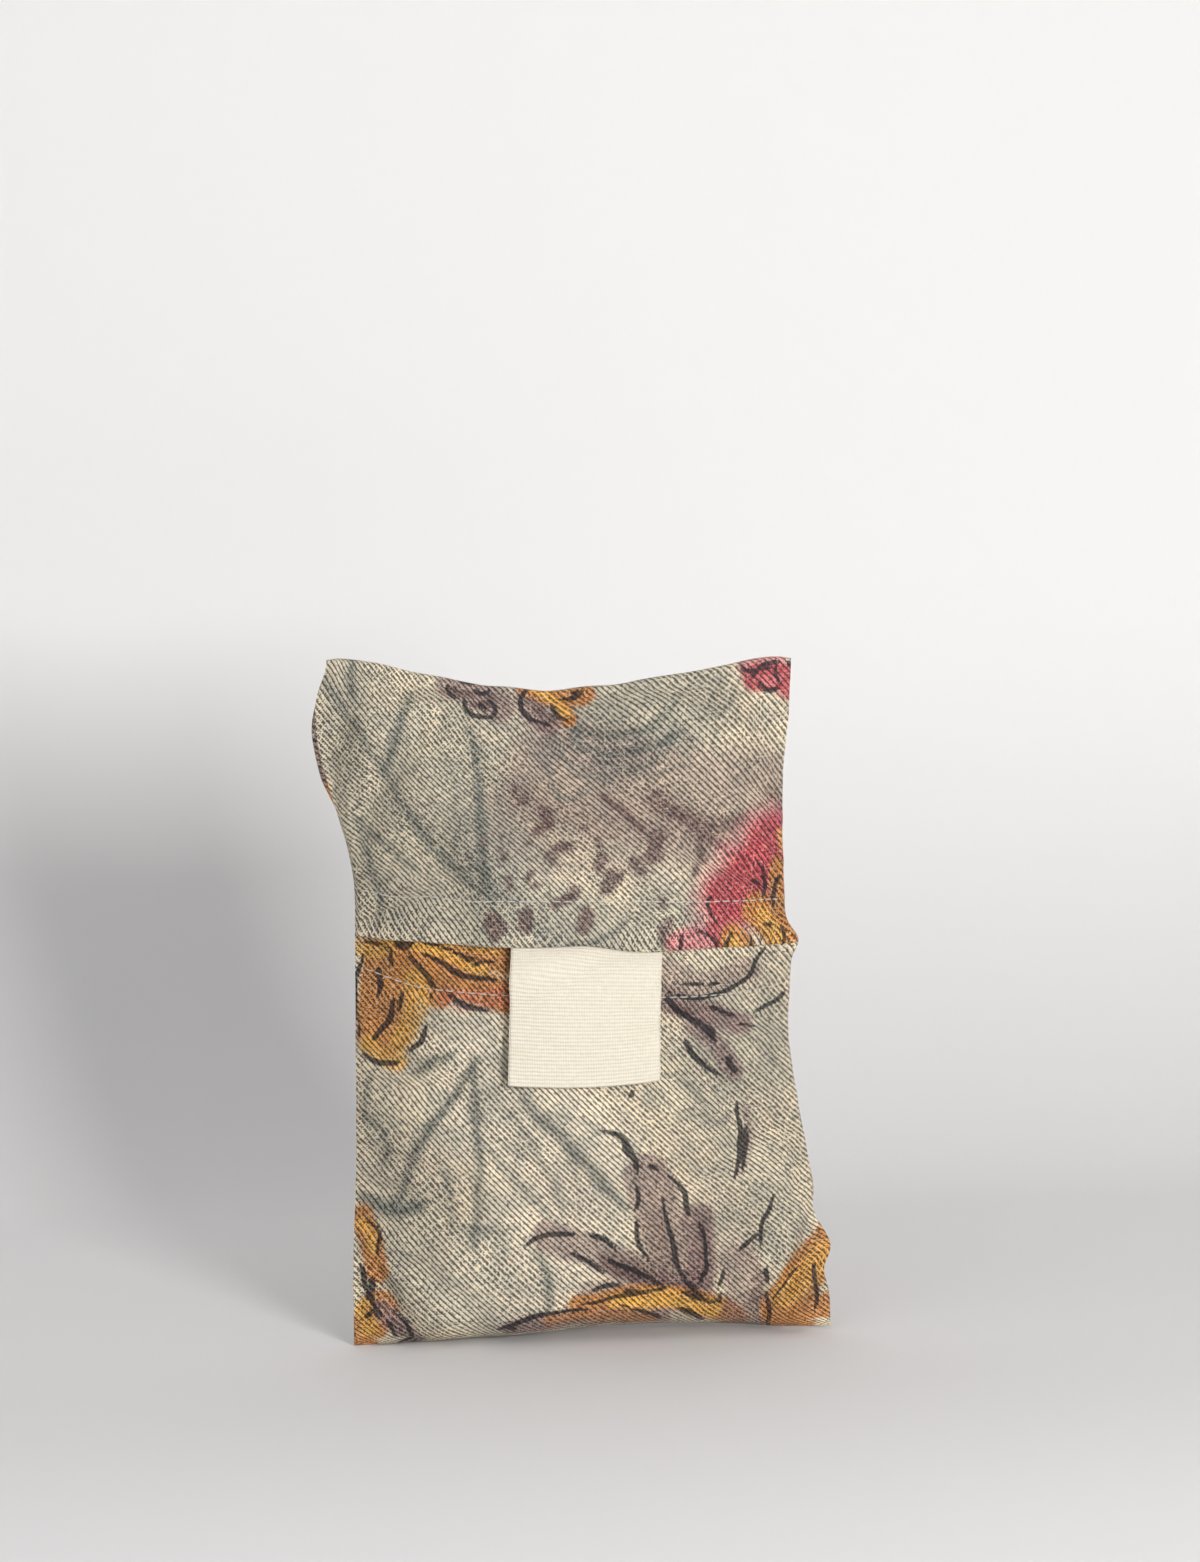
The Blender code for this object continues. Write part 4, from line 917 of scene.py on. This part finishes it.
class Material:
    """A node material: each call adds a node and gives back its first output."""

    def __init__(self, name):
        self.made = bpy.data.materials.new(name)
        self.made.use_nodes = True
        self.tree = self.made.node_tree
        self.shader = self.tree.nodes["Principled BSDF"]

    def feed(self, socket, value):
        if isinstance(value, bpy.types.NodeSocket):
            self.tree.links.new(value, socket)
        elif isinstance(value, tuple) and len(value) == 3 and socket.type == "RGBA":
            socket.default_value = (*value, 1.0)
        else:
            socket.default_value = value

    def node(self, kind, inputs, output=0, **settings):
        made = self.tree.nodes.new(kind)
        for key, value in settings.items():
            setattr(made, key, value)
        for key, value in inputs.items():
            self.feed(made.inputs[key], value)
        return made.outputs[output]

    def math(self, operation, first, second=0.0, third=0.0):
        return self.node("ShaderNodeMath", {0: first, 1: second, 2: third}, operation=operation)

    def wave(self, value, pitch):
        return self.math("SINE", self.math("MULTIPLY", value, 2.0 * math.pi / pitch))

    def mapped(self):
        """The map in millimetres, and its two parts."""
        flat = self.node("ShaderNodeUVMap", {}, uv_map="UVMap")
        parts = self.tree.nodes.new("ShaderNodeSeparateXYZ")
        self.feed(parts.inputs[0], flat)
        return flat, parts.outputs[0], parts.outputs[1]

    def step(self, value, low, high, start=0.0, end=1.0):
        ranged = {"Value": value, "From Min": low, "From Max": high, "To Min": start, "To Max": end}
        return self.node("ShaderNodeMapRange", ranged, interpolation_type="SMOOTHSTEP")

    def blend(self, first, second, share, kind="MIX"):
        made = self.tree.nodes.new("ShaderNodeMix")
        made.data_type = "RGBA"
        made.blend_type = kind
        self.feed(made.inputs[0], share)
        self.feed(made.inputs[6], first)
        self.feed(made.inputs[7], second)
        return made.outputs[2]

    def noise(self, vector, scale, detail=2.0, roughness=0.5):
        inputs = {"Vector": vector, "Scale": scale, "Detail": detail, "Roughness": roughness}
        return self.node("ShaderNodeTexNoise", inputs)

    def scaled(self, vector, scale):
        return self.node("ShaderNodeVectorMath", {0: vector, 1: scale}, operation="MULTIPLY")

    def finish(self, colour, roughness, height, distance, strength=1.0, **constants):
        self.feed(self.shader.inputs["Base Color"], colour)
        self.feed(self.shader.inputs["Roughness"], roughness)
        bump = self.node("ShaderNodeBump", {"Height": height, "Distance": distance, "Strength": strength})
        self.feed(self.shader.inputs["Normal"], bump)
        for key, value in constants.items():
            self.feed(self.shader.inputs[key.replace("_", " ")], value)
        return self.made


def woven(made, u, v, pitch):
    """1 where a thread along v lies on top and -1 where a thread along u does."""
    return made.math("MULTIPLY", made.wave(u, pitch), made.wave(v, pitch))


def cloth_material(name, printed):
    made = Material(name)
    flat, u, v = made.mapped()
    weave = woven(made, u, v, WEAVE_PITCH)
    slant = made.wave(made.math("ADD", u, v), TWILL_PITCH)
    heather = made.noise(made.scaled(flat, (2.4, 0.8, 1.0)), 1.0, 3.0, 0.65)
    slub = made.noise(made.scaled(flat, (0.6, 3.2, 1.0)), 1.0, 2.0, 0.6)
    mottle = made.noise(flat, 0.16, 3.0, 0.6)
    patch = made.noise(flat, 0.055, 2.0, 0.5)
    spark = made.noise(made.scaled(flat, (1.9, 1.9, 1.0)), 1.0, 1.0, 0.5)
    mixed = made.math("MULTIPLY_ADD", slant, 0.85, made.math("MULTIPLY", weave, 0.80))
    mixed = made.math("ADD", mixed, made.math("MULTIPLY_ADD", heather, 5.4, -2.7))
    mixed = made.math("ADD", mixed, made.math("MULTIPLY_ADD", slub, 3.8, -1.9))
    if printed:
        dye = made.node("ShaderNodeAttribute", {}, attribute_name="dye")
        line = made.node("ShaderNodeAttribute", {}, output=2, attribute_name="ink")
        bare = made.math("MULTIPLY", made.step(made.math("ADD", heather, slub), 1.02, 1.25), 0.28)
        dye = made.blend(dye, GROUND, bare)
        frayed = made.math("ADD", line, made.math("MULTIPLY_ADD", heather, 0.5, -0.25))
        drawn = made.step(frayed, -0.10, 0.20)
    else:
        dye = made.blend(GREY, GROUND, made.step(mottle, 0.35, 0.62))
        drawn = made.step(mottle, 0.0, 0.01)
    dye = made.blend(dye, made.scaled(dye, (0.76, 0.79, 0.82)), made.step(mottle, 0.62, 0.36))
    dye = made.blend(dye, made.scaled(dye, (0.86, 0.86, 0.88)), made.step(patch, 0.60, 0.40))
    raised = made.step(mixed, -0.85, 0.60)
    # The weave's two tones: the cloth's cream and charcoal threads, with painted light on the raised
    # threads and painted shade on the sunk ones.
    sunk_painted_shade = made.blend(made.scaled(dye, (0.20, 0.20, 0.21)), CHARCOAL, 0.32)
    lit = made.blend(made.scaled(dye, (1.34, 1.34, 1.32)), CREAM, 0.08)
    colour = made.blend(sunk_painted_shade, lit, raised)
    # Painted highlights: where the spark noise is high, raised threads are lightened towards cream as
    # glints.
    glint = made.math("MULTIPLY", made.step(spark, 0.58, 0.72), raised)
    painted_glint_colour = made.blend(made.scaled(dye, (1.7, 1.7, 1.65)), CREAM, 0.30)
    colour = made.blend(colour, painted_glint_colour, made.math("MULTIPLY", glint, 0.55))
    colour = made.blend(made.blend(INK, colour, made.math("MULTIPLY", raised, 0.16)), colour, drawn)
    height = made.math("ADD", raised, made.math("MULTIPLY", mottle, 0.8))
    rough = made.step(spark, 0.35, 0.7, 0.60, 0.36)
    sheen = {"Sheen_Weight": 0.03, "Sheen_Roughness": 0.4}
    return made.finish(colour, rough, height, WEAVE_RELIEF, 0.8, Specular_IOR_Level=0.22, **sheen)


def tape_material(name):
    made = Material(name)
    flat, u, v = made.mapped()
    uneven = made.noise(made.scaled(flat, (0.35, 2.0, 1.0)), 1.0, 3.0, 0.6)
    rib = made.wave(made.math("MULTIPLY_ADD", uneven, 0.5, v), RIB_PITCH)
    thread = made.wave(u, TAPE_THREAD)
    grain = made.noise(flat, 0.9, 4.0, 0.7)
    height = made.math("MULTIPLY_ADD", thread, 0.22, made.math("MULTIPLY_ADD", rib, 0.5, grain))
    shade = made.math("MULTIPLY_ADD", rib, 0.055, made.math("MULTIPLY_ADD", grain, 0.22, 0.84))
    colour = made.blend((0.0, 0.0, 0.0), LABEL_CREAM, shade)
    worn = made.step(made.noise(flat, 0.12, 3.0, 0.6), 0.48, 0.75, 0.0, 0.45)
    colour = made.blend(colour, LABEL_WORN, worn)
    return made.finish(colour, 0.86, height, WEAVE_RELIEF, 0.9, Specular_IOR_Level=0.2)


def thread_material(name):
    made = Material(name)
    _, u, v = made.mapped()
    twist = made.math("MULTIPLY", v, PLY_AROUND)
    ply = made.math("SINE", made.math("MULTIPLY_ADD", u, PLY_ALONG, twist))
    colour = made.blend(THREAD_SHADE, THREAD_WHITE, made.step(ply, -0.9, 0.4))
    return made.finish(colour, 0.6, ply, THREAD_RELIEF, 0.8, Sheen_Weight=0.2)


# The print


def dyed(right, up, strokes):
    """The print's colour, and the distance to its nearest ink line, at each point."""
    right = right + 0.35 * wobble(right, up, 7.0, 11)
    up = up + 0.35 * wobble(right, up, 7.0, 12)
    colour = np.tile(np.array(GROUND), right.shape + (1,))
    ink = np.full(right.shape, INK_REACH)
    for paint, half, soft, strength, points in strokes:
        (left, low), (far_right, high) = np.min(points, axis=0), np.max(points, axis=0)
        room = half + soft + INK_REACH
        near = (right > left - room) & (right < far_right + room) & (up > low - room) & (up < high + room)
        if not near.any():
            continue
        far, place = path_distance(right[near], up[near], curved(points) if len(points) > 2 else points)
        if paint in (INK, VEIN):
            half = half * mix(0.5, 1.1, np.sqrt(np.clip(4.0 * place * (1.0 - place), 0.0, 1.0)))
        if paint == INK:
            ink[near] = np.minimum(ink[near], far - half)
        else:
            cover = strength * (1.0 - smooth((far - half) / soft + 0.5))
            colour[near] = mix(colour[near], np.array(paint), cover[..., None])
    return colour, ink


def seen(points):
    """Where a point lies to the right and up, for an eye a little to the left and above."""
    turn, tilt = math.radians(PRINT_TURN), math.radians(PRINT_TILT)
    x, y, z = np.moveaxis(points, -1, 0)
    right = x * math.cos(turn) - y * math.sin(turn)
    return right, z - PRINT_LOWER + math.tan(tilt) * (x * math.sin(turn) + y * math.cos(turn))


# The pouch's cloth


def strip_rows(across):
    """The strip's rows in order: each row's panel, and its side, place up, out and along at each column."""
    panels, rows = [], []
    radius = (CLOTH + LAYER_GAP) / 2.0
    angles = np.linspace(0.0, math.pi, TURN_ROWS)[1:-1]

    def add(panel, side, up, out=0.0, along=0.0):
        panels.append(panel)
        rows.append(np.broadcast_arrays(across, side, up, out, along)[1:])

    for share in np.linspace(FLAP_HEM_WIDTH, 0.0, FLAP_LEAF_ROWS):
        add("flap_leaf", FRONT, up_at(across, flap_hem(across) + share), flap_leaf_out(across))
    low = up_at(across, flap_hem(across))
    for angle in angles[::-1]:
        out = flap_leaf_out(across) + radius * (1.0 + math.cos(angle))
        add("flap_turn", FRONT, low, out, -radius * math.sin(angle))
    for share in np.linspace(0.0, 1.0, FLAP_ROWS):
        up = mix(low, 1.0, share)
        add("flap", FRONT, up, flap_out(across, mix(CLOTH / 2.0, top_height(across), up)))
    for share in np.linspace(0.0, 1.0, CROWN_ROWS)[1:-1]:
        add("crown", FRONT, 1.0, 0.0, share)
    for share in np.linspace(1.0, 0.0, BACK_ROWS):
        add("back", BACK, share)
    for share in np.linspace(0.0, 1.0, BASE_ROWS)[1:-1]:
        add("base", BACK, 0.0, 0.0, share)
    hem, hem_up = pocket_hem(across), up_at(across, pocket_hem(across))
    for share in np.linspace(0.0, 1.0, POCKET_ROWS):
        add("pocket", FRONT, hem_up * share, -valley(hem * share - pocket_stitches(across)))
    for angle in angles:
        add("pocket_turn", FRONT, hem_up, radius * (math.cos(angle) - 1.0), radius * math.sin(angle))
    for share in np.linspace(0.0, POCKET_HEM_WIDTH, POCKET_LEAF_ROWS):
        add("pocket_leaf", FRONT, up_at(across, hem - share), -2.0 * radius)
    return np.array(panels), np.moveaxis(np.array(rows), 1, 0)


def strip_points(panels, rows, across):
    side, up, out, along = rows
    moved = np.where(np.isin(panels, ("crown", "base")), 0.0, along.T).T
    points = on_pouch(across, up, side, out, moved)
    front, back = (pouch(across, np.ones_like(across), face) for face in (FRONT, BACK))
    middle, half = (front + back) / 2.0, (back - front) / 2.0
    turned = math.pi * along[panels == "crown"][..., None]
    lift = np.abs(half[:, 1:2]) * np.array((0.0, 0.0, 1.0))
    points[panels == "crown"] = middle - half * np.cos(turned) + lift * np.sin(turned)
    front, back = (pouch(across, np.zeros_like(across), face) for face in (FRONT, BACK))
    base = panels == "base"
    points[base] = mix(back, front, along[base][..., None])
    first, last = np.flatnonzero(base)[[0, -1]]
    place = np.arange(len(panels))
    near = np.minimum(np.abs(place - first), np.abs(place - last))
    weight = (0.5 * (1.0 - smooth((near - SOFTENED_ROWS) / SOFTENED_FALL)))[:, None, None]
    for _ in range(BASE_SOFTENING):
        points[1:-1] += weight[1:-1] * ((points[2:] + points[:-2]) / 2.0 - points[1:-1])
    points[..., 2] = np.maximum(points[..., 2], FLOOR_LIFT)
    return points


def strip_print(panels, points):
    """The print of the front follows its strokes, and the back shows the same cloth turned upside down."""
    colour = np.zeros(points.shape)
    ink = np.full(points.shape[:2], INK_REACH)
    right, up = seen(points)
    front = np.isin(panels, ("flap_leaf", "flap_turn", "flap", "crown"))
    colour[front], ink[front] = dyed(right[front], up[front], FLAP_PRINT)
    pocket = np.isin(panels, ("pocket", "pocket_turn", "pocket_leaf"))
    foot = POCKET_FOOT + POCKET_FOOT_RISE * right
    share = POCKET_PRINT_HEIGHT * (up - foot) / (POCKET_PRINT_HEIGHT - foot)
    colour[pocket], ink[pocket] = dyed(right[pocket], share[pocket], POCKET_PRINT)
    back = panels == "back"
    x, z = points[back][..., 0], points[back][..., 2]
    upper, upper_ink = dyed(x, BACK_POCKET_TOP - z, POCKET_PRINT)
    lower, lower_ink = dyed(x, BACK_FLAP_TOP - z, FLAP_PRINT)
    wave = BACK_JOIN_WAVE * np.sin(x / BACK_JOIN_LENGTH)
    share = smooth((z - BACK_PRINT_JOIN - wave) / BACK_JOIN_SOFT + 0.5)
    colour[back] = mix(lower, upper, share[..., None])
    ink[back] = np.where(share > 0.5, upper_ink, lower_ink)
    edge, lines = dyed(x, z, EDGE_PRINT)
    rim = smooth((np.abs(np.linspace(-1.0, 1.0, x.shape[1])) - RIM) / RIM_SOFT)
    colour[back] = mix(colour[back], edge, rim[..., None])
    ink[back] = np.where(rim > 0.5, lines, ink[back])
    base = panels == "base"
    below = points[base][..., 1] - points[panels == "pocket"][0][:, 1]
    colour[base], ink[base] = dyed(right[base], below, POCKET_PRINT)
    share = smooth((points[base][..., 1] - BASE_JOIN) / BASE_JOIN_SOFT)
    colour[base] = mix(colour[base], colour[back][-1], share[..., None])
    return colour, ink


def cloth_strip():
    across = np.linspace(-1.0, 1.0, STRIP_COLUMNS)
    panels, rows = strip_rows(across)
    points = strip_points(panels, rows, across)
    colour, ink = strip_print(panels, points)
    lengths = lengths_along(points[:, STRIP_COLUMNS // 2])
    uv = np.stack(np.broadcast_arrays(across[None, :] * POUCH_WIDTH / 2.0, lengths[:, None]), -1)
    made = grid_object("pouch_printed_cloth", points, uv, (("dye", colour), ("ink", ink)))
    outer = np.flatnonzero(np.isin(panels, ("flap", "crown", "back", "base", "pocket")))
    return made, lengths[-1], points[outer]


def label_tape():
    """A tape folded double, whose two ends are caught under the flap's hem."""
    half_turn = np.linspace(0.0, math.pi, LABEL_TURN_ROWS)[1:-1]
    radius = (label_outer() - LABEL_INNER) / 2.0
    across = np.linspace(-1.0, 1.0, LABEL_COLUMNS)
    rows = []
    top, bottom = FLAP_HEM + LABEL_TUCK, FLAP_HEM - LABEL_DROP
    for height in np.linspace(top, bottom, LABEL_ROWS):
        rows.append((height, label_outer(), 0.0))
    for angle in half_turn:
        rows.append((bottom, LABEL_INNER + radius * (1.0 + math.cos(angle)), -radius * math.sin(angle)))
    for height in np.linspace(bottom, top, LABEL_ROWS):
        rows.append((height, LABEL_INNER, 0.0))
    height, out, along = (column[:, None] for column in np.array(rows).T)
    hung = smooth((FLAP_HEM - height) / LABEL_DROP)
    x = across * LABEL_WIDTH / 2.0 - LABEL_LEAN * (FLAP_HEM - height) / LABEL_DROP
    tilted = LABEL_TILT * across * smooth((height - bottom) / LABEL_DROP)
    level = height - LABEL_BOW * (1.0 - across**2) * hung - tilted
    place = across_at(x, up_at(0.0, level))
    stand = LABEL_WAVE * wobble(x, level, 26.0, 21) * hung
    lift = LABEL_LIFT * smooth((FLAP_HEM - LABEL_LIFT_BELOW - height) / LABEL_DROP) * (0.5 - 0.5 * across)
    lift = lift * np.where(out > LABEL_INNER + 0.01, 1.0, INNER_LIFT)
    points = on_pouch(place, up_at(place, level), FRONT, out + stand + lift, along)
    lengths = lengths_along(points[:, LABEL_COLUMNS // 2])
    uv = np.stack(np.broadcast_arrays(across[None, :] * LABEL_WIDTH / 2.0, lengths[:, None]), -1)
    made = grid_object("label_folded_tape", points, uv)
    thick = made.modifiers.new("Thickness", "SOLIDIFY")
    thick.thickness = LABEL_TAPE * MM
    thick.offset = 0.0
    applied(made)
    return made, lengths[-1]


def applied(made):
    """Applies the object's modifiers."""
    depsgraph = bpy.context.evaluated_depsgraph_get()
    depsgraph.update()
    mesh = bpy.data.meshes.new_from_object(made.evaluated_get(depsgraph))
    made.modifiers.clear()
    made.data = mesh
    return made


def stitch_row(name, spots, normals):
    """Short twisted stitches between the needle holes at these spots, each dipping into the cloth."""
    ring = np.linspace(0.0, 2.0 * math.pi, STITCH_SIDES, endpoint=False)
    shares = np.linspace(0.0, 1.0, STITCH_RINGS)
    points, faces, uv = [], [], []
    for start, end, out in zip(spots[:-1], spots[1:], normals[:-1]):
        run = end - start
        length = np.linalg.norm(run)
        run = run / length
        aside = unit(np.cross(run, out))
        base = len(points)
        for share in shares:
            place = start + run * length * mix(STITCH_GAP, 1.0 - STITCH_GAP, share)
            rise = math.sin(math.pi * share) ** 0.5 if 0.0 < share < 1.0 else 0.0
            radius = STITCH_THREAD / 2.0 * (0.45 + 0.55 * rise)
            for angle in ring:
                ply = 1.0 + 0.14 * math.cos(2.0 * (angle + 5.0 * share))
                offset = radius * ply * (math.cos(angle) * out + math.sin(angle) * aside)
                points.append(place + out * (rise * STITCH_THREAD * 0.55 - STITCH_SUNK) + offset)
                uv.append((share * length, angle))
        for i in range(STITCH_RINGS - 1):
            low = base + STITCH_SIDES * i
            high = low + STITCH_SIDES
            for j in range(STITCH_SIDES):
                k = (j + 1) % STITCH_SIDES
                faces.append((low + j, low + k, high + k, high + j))
    return mesh_object(name, points, faces, uv)


def stitches(name, height, out):
    """Stitches along a line at this height across the front."""
    fine = np.linspace(-STITCH_REACH, STITCH_REACH, STITCH_SAMPLES)
    up = up_at(fine, height(fine))
    line = on_pouch(fine, up, FRONT, out(fine) + CLOTH / 2.0)
    inside = on_pouch(fine, up, FRONT, out(fine) + CLOTH / 2.0 - 0.5)
    lengths = lengths_along(line)
    holes = np.arange(0.0, lengths[-1], STITCH)
    spots = np.stack([np.interp(holes, lengths, axis) for axis in line.T], -1)
    deeper = np.stack([np.interp(holes, lengths, axis) for axis in inside.T], -1)
    return stitch_row(name, spots, unit(spots - deeper))


def held_inside(points, shell):
    """Moves every point that lies too near the pouch's cloth, or past it, back inside."""
    tree = BVHTree.FromPolygons(shell.reshape(-1, 3).tolist(), grid_faces(*shell.shape[:2]).tolist())
    held = []
    for point in points:
        place, outwards, _, _ = tree.find_nearest(Vector(point))
        past = (Vector(point) - place).dot(outwards) + PACKET_GAP
        held.append(Vector(point) - outwards * max(past, 0.0))
    return np.array(held)


def packet(name, node, shell):
    """A softly rounded copy of one of the hidden soft pieces, with a map from its own faces."""
    made = placed(name, frame["nodes"][node].data.copy())
    rounded = made.modifiers.new("Rounded", "REMESH")
    rounded.mode = "VOXEL"
    rounded.voxel_size = PACKET_VOXEL
    eased = made.modifiers.new("Eased", "SMOOTH")
    eased.iterations = PACKET_EASING
    applied(made)
    mesh = made.data
    mesh.materials.clear()
    mesh.shade_smooth()
    points = np.empty(3 * len(mesh.vertices))
    mesh.vertices.foreach_get("co", points)
    points = held_inside(held_inside(points.reshape(-1, 3) / MM, shell), shell)
    mesh.vertices.foreach_set("co", (points * MM).astype(np.float32).ravel())
    mesh.update()
    corners = np.empty(len(mesh.loops), int)
    mesh.loops.foreach_get("vertex_index", corners)
    layer = mesh.uv_layers.get("UVMap") or mesh.uv_layers.new(name="UVMap")
    uv = (points[:, (0, 2)] + points[:, (1, 1)])[corners]
    layer.uv.foreach_set("vector", uv.astype(np.float32).ravel())
    return made


def shaded(made, material):
    made.data.materials.clear()
    made.data.materials.append(material)
    return made


# The stage: a floor that curves up into a wall


def backdrop():
    turn = np.linspace(0.0, math.pi / 2.0, 24)
    profile = [(-FLOOR_REACH, 0.0), (-1600.0, 0.0), (-400.0, 0.0)]
    profile += [(WALL_Y - SWEEP * (1.0 - math.sin(t)), SWEEP * (1.0 - math.cos(t))) for t in turn]
    profile += [(WALL_Y, WALL_TOP)]
    columns = np.linspace(-FLOOR_REACH, FLOOR_REACH, 7)
    points = np.array([[(x, y, z) for x in columns] for y, z in profile])
    made = grid_object("backdrop", points, np.zeros(points.shape[:2] + (2,)))
    paper = Material("backdrop_paper")
    place = paper.node("ShaderNodeNewGeometry", {})
    parts = paper.tree.nodes.new("ShaderNodeSeparateXYZ")
    paper.feed(parts.inputs[0], place)
    colour = paper.blend(FLOOR_COLOUR, WALL_COLOUR, paper.step(parts.outputs[2], 0.01, 0.16))
    grain = paper.noise(place, 900.0, 2.0)
    paper.finish(colour, 0.9, grain, 0.0001, 0.1)
    # Painted light: the paper glows white for camera, glossy and transmission rays, more with distance and,
    # faintly, on the floor in front.
    seen_by = paper.tree.nodes.new("ShaderNodeLightPath")
    straight, glossy, through = (seen_by.outputs[f"Is {kind} Ray"] for kind in RAYS)
    direct = paper.math("MAXIMUM", straight, paper.math("MAXIMUM", glossy, through))
    paper.feed(paper.shader.inputs["Emission Color"], (1.0, 1.0, 1.0))
    far = paper.node("ShaderNodeVectorMath", {0: place}, output=1, operation="LENGTH")
    near = paper.step(parts.outputs[1], *NEAR_GLOW_SPAN, 0.0, NEAR_GLOW)
    glow = paper.math("ADD", paper.step(far, *FAR_GLOW_SPAN, 0.0, FAR_GLOW), near)
    paper.feed(paper.shader.inputs["Emission Strength"], paper.math("MULTIPLY", direct, glow))
    outwards = paper.tree.nodes.new("ShaderNodeMixShader")
    paper.feed(outwards.inputs[0], place.node.outputs["Backfacing"])
    paper.feed(outwards.inputs[1], paper.shader.outputs[0])
    paper.feed(outwards.inputs[2], paper.node("ShaderNodeBsdfTransparent", {}))
    paper.feed(paper.tree.nodes["Material Output"].inputs["Surface"], outwards.outputs[0])
    made.data.materials.append(paper.made)
    return made


def lamp(name, turn, rise, far, size, power, colour):
    """A soft square light that stands at this bearing from the front and faces the object."""
    data = bpy.data.lights.new(name, "AREA")
    data.shape = "RECTANGLE"
    data.size = data.size_y = size
    data.energy = power
    data.color = colour
    made = placed(name, data)
    away = bearing(turn, rise)
    made.location = Vector(LOOK_AT) + away * far
    made.rotation_euler = away.to_track_quat("Z", "Y").to_euler()
    return made


def camera():
    data = bpy.data.cameras.new("camera")
    data.lens = LENS
    data.sensor_width = SENSOR
    made = placed("camera", data)
    focal = LENS / SENSOR * FRAME_HEIGHT
    made.location = Vector(LOOK_AT) + bearing(VIEW_TURN, VIEW_RISE) * VIEW_FAR
    off_right = math.atan((LOOK_X - FRAME_WIDTH / 2.0) / focal)
    off_down = math.atan((LOOK_Y - FRAME_HEIGHT / 2.0) / focal)
    heading = Matrix.Rotation(math.radians(VIEW_TURN) + off_right, 4, "Z")
    tilt = Matrix.Rotation(math.pi / 2.0 - math.radians(VIEW_RISE) + off_down, 4, "X")
    made.rotation_euler = (heading @ tilt).to_euler()
    data.clip_start, data.clip_end = 0.05, 20.0
    bpy.context.scene.camera = made


def world():
    made = bpy.data.worlds.new("world")
    bpy.context.scene.world = made
    made.use_nodes = True
    tree = made.node_tree
    sky = tree.nodes["Background"]
    sky.inputs["Color"].default_value = (*SKY_COLOUR, 1.0)
    sky.inputs["Strength"].default_value = SKY_STRENGTH
    pale = tree.nodes.new("ShaderNodeBackground")
    pale.inputs["Color"].default_value = (1.0, 1.0, 1.0, 1.0)
    rays = tree.nodes.new("ShaderNodeLightPath")
    seen_by = rays.outputs[f"Is {RAYS[0]} Ray"]
    for other in RAYS[1:]:
        either = tree.nodes.new("ShaderNodeMath")
        either.operation = "MAXIMUM"
        tree.links.new(seen_by, either.inputs[0])
        tree.links.new(rays.outputs[f"Is {other} Ray"], either.inputs[1])
        seen_by = either.outputs[0]
    mixed = tree.nodes.new("ShaderNodeMixShader")
    tree.links.new(seen_by, mixed.inputs[0])
    tree.links.new(sky.outputs[0], mixed.inputs[1])
    tree.links.new(pale.outputs[0], mixed.inputs[2])
    tree.links.new(mixed.outputs[0], tree.nodes["World Output"].inputs["Surface"])


bpy.context.scene.view_settings.view_transform = "Standard"

BILLOW = None
BILLOW = billowed()

cloth = cloth_material("printed_cloth_weave", True)
plain = cloth_material("bag_cloth_weave", False)
tape = tape_material("label_tape_ribs")
thread = thread_material("sewing_thread_twist")

pouch_cloth, cloth_length, shell = cloth_strip()
shaded(pouch_cloth, cloth)
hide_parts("pouch_cloth")
label, label_length = label_tape()
shaded(label, tape)
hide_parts("sewn_label")
flap_thread = stitches("flap_hem_stitches", flap_stitches, lambda a: flap_out(a, flap_stitches(a)))
shaded(flap_thread, thread)
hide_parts("flap_hem_thread")
pocket_thread = stitches("pocket_hem_stitches", pocket_stitches, lambda a: -valley(0.0 * a))
shaded(pocket_thread, thread)
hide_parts("pocket_hem_thread")
bag = shaded(packet("bag_folded_packet", "folded_bag", shell), plain)
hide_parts("folded_bag")
handles = []
for side in ("left", "right"):
    handle = shaded(packet(f"handle_folded_{side}", f"bag_handle_{side}", shell), plain)
    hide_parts(f"bag_handle_{side}")
    handles.append(handle)

for piece in (pouch_cloth, label, flap_thread, pocket_thread, bag, *handles):
    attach(piece, "root")

backdrop()
camera()
world()
for settings in LAMPS:
    lamp(*settings)
